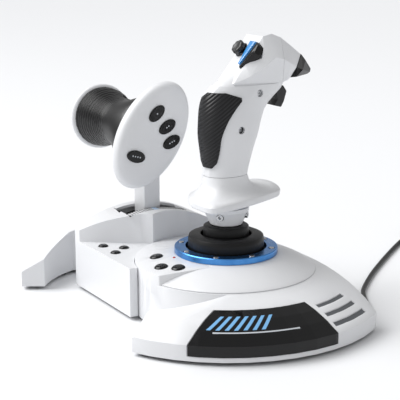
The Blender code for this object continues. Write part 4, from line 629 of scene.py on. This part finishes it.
# the neck that closes the handle's top behind the head: height, middle and half depth along Y, half width
neckSetup = {"rows": [(188.6, 20.3, 31.2, 14.4), (190.4, 20.5, 32.2, 15.3), (191.3, 20.7, 32.0, 15.1),
                      (192.6, 21.2, 30.9, 14.4), (194.6, 22.6, 28.6, 13.4), (197.0, 24.4, 26.0, 12.2),
                      (199.5, 26.3, 23.4, 11.0)], "front": 34.0, "power": 0.9, "count": 25, "round": 96}


def makeNeck(setup):
    # half width * sign(cos a) |cos a|^power, middle + half depth * sign(sin a) |sin a|^power up to the front
    last = len(setup["rows"]) - 1
    table = np.column_stack([np.arange(last + 1), setup["rows"]])
    high, middle, depth, width = through(table, np.linspace(0, last, setup["count"])).T[:, :, None]
    a = fullTurn(setup["round"])
    x = width * np.sign(np.cos(a)) * np.abs(np.cos(a)) ** setup["power"]
    y = middle + depth * np.sign(np.sin(a)) * np.abs(np.sin(a)) ** setup["power"]
    neck = np.stack([x, np.minimum(y, setup["front"]), high + 0 * a], -1)
    addPiece("handleNeck", [closedGrid(neck)], whiteAbs, "grip", crease=50)


makeNeck(neckSetup)
print("marks and neck made")

# width in millimetres of each copy's rounded edges
edgeWidths = {
    "stick_base_top": 0.45, "stick_base_bottom": 0.5, "inlay_bar_1": 0.3, "inlay_bar_2": 0.3,
    "inlay_bar_3": 0.3, "cover_disc": 0.4, "collar_ring": 0.4, "clamp_ring_screws": 0.2, "gimbal_frame": 0.3,
    "gimbal_yoke": 0.3, "stick_shaft": 0.5, "centring_spring": 0, "boot_lower": 0.4, "boot_upper": 0.4,
    "lock_collar": 0.8, "lock_screw_1": 0.2, "lock_screw_2": 0.2, "hand_rest": 0, "handle_right": 0.25,
    "handle_left": 0.25, "grip_pad": 0.5, "head_shell": 1.2, "nose_shell": 0.8, "hat_pivot": 0.2,
    "blue_key": 0.25, "black_key": 0.25, "trigger": 0.7, "throttle_base_top": 1.0,
    "throttle_base_bottom": 0.5, "lever_bracket": 0.3, "lever_post": 0.9, "slot_shutter": 0.2,
    "throttle_saddle": 0.6, "throttle_end_disc": 0.8, "rudder_rocker": 0.5, "stick_button_1": 0.3,
    "stick_button_2": 0.3, "stick_button_3": 0.3, "throttle_button_1": 0.3, "throttle_button_2": 0.3,
    "throttle_button_3": 0.3, "joining_plate": 0.3, "foot_1": 0.5, "foot_2": 0.5, "foot_3": 0.5,
    "foot_4": 0.5, "foot_5": 0.5, "strain_relief": 0.3}
specialFinish = {"grip_pad": ribbedRubber, "throttle_saddle": gripTpe}
keptFacets = {"stick_base_top", "black_key", "blue_key", "cover_disc"}  # merging their facets spoils shading
for node, width in edgeWidths.items():
    roundedCopy(node, width, finish=specialFinish.get(node), flatten=node not in keptFacets)
print("copies made")

# floor colour and half width in metres, a broad overhead sun, a softbox in millimetres and watts, and the sky
stageSetup = {"floor": "#EDEEF0", "floorHalf": 30, "sunStrength": 2.2, "sunSpread": 50,
              "sunFrom": (-0.5, -0.62, 0.95), "softbox": (-900, -1400, 1500), "softboxSize": 1300,
              "softboxWatts": 14, "softboxAim": (0.0, 0.0, 0.1), "world": 0.5}


def makeStage(setup):
    # a white floor, the sun's direction as a vector towards it, and the softbox turned to its aim
    half = setup["floorHalf"]
    paper = mouldedFinish("mattePaperSweep", setup["floor"], setup["floor"], rough=(0.75, 0.85), grainMm=1.2,
                          bumpMm=0.01, sockets={"IOR": 1.45, "Specular IOR Level": 0.2}, patchMm=300.0)
    mesh = bpy.data.meshes.new("floor")
    corners = [(-half, -half, 0), (half, -half, 0), (half, half, 0), (-half, half, 0)]
    mesh.from_pydata(corners, [], [(0, 1, 2, 3)])
    floor = bpy.data.objects.new("floor", mesh)
    scene.collection.objects.link(floor)
    mesh.materials.append(paper)
    sun = bpy.data.lights.new("overhead", "SUN")
    sun.energy, sun.angle = setup["sunStrength"], radians(setup["sunSpread"])
    high = bpy.data.objects.new("overhead", sun)
    high.rotation_euler = Vector(setup["sunFrom"]).to_track_quat("Z", "Y").to_euler()
    scene.collection.objects.link(high)
    light = bpy.data.lights.new("softbox", "AREA")
    light.shape = "SQUARE"
    light.size = setup["softboxSize"] / 1000
    light.energy = setup["softboxWatts"]
    lamp = bpy.data.objects.new("softbox", light)
    lamp.location = inRow(setup["softbox"])
    lamp.rotation_euler = (Vector(setup["softboxAim"]) - lamp.location).to_track_quat("-Z", "Y").to_euler()
    scene.collection.objects.link(lamp)
    world = bpy.data.worlds.new("studio")
    world.use_nodes = True
    sky = world.node_tree.nodes["Background"]
    sky.inputs["Color"].default_value = (1, 1, 1, 1)
    sky.inputs["Strength"].default_value = setup["world"]
    scene.world = world
    scene.view_settings.view_transform = "Standard"
    scene.view_settings.look = "None"


makeStage(stageSetup)
print("stage set")
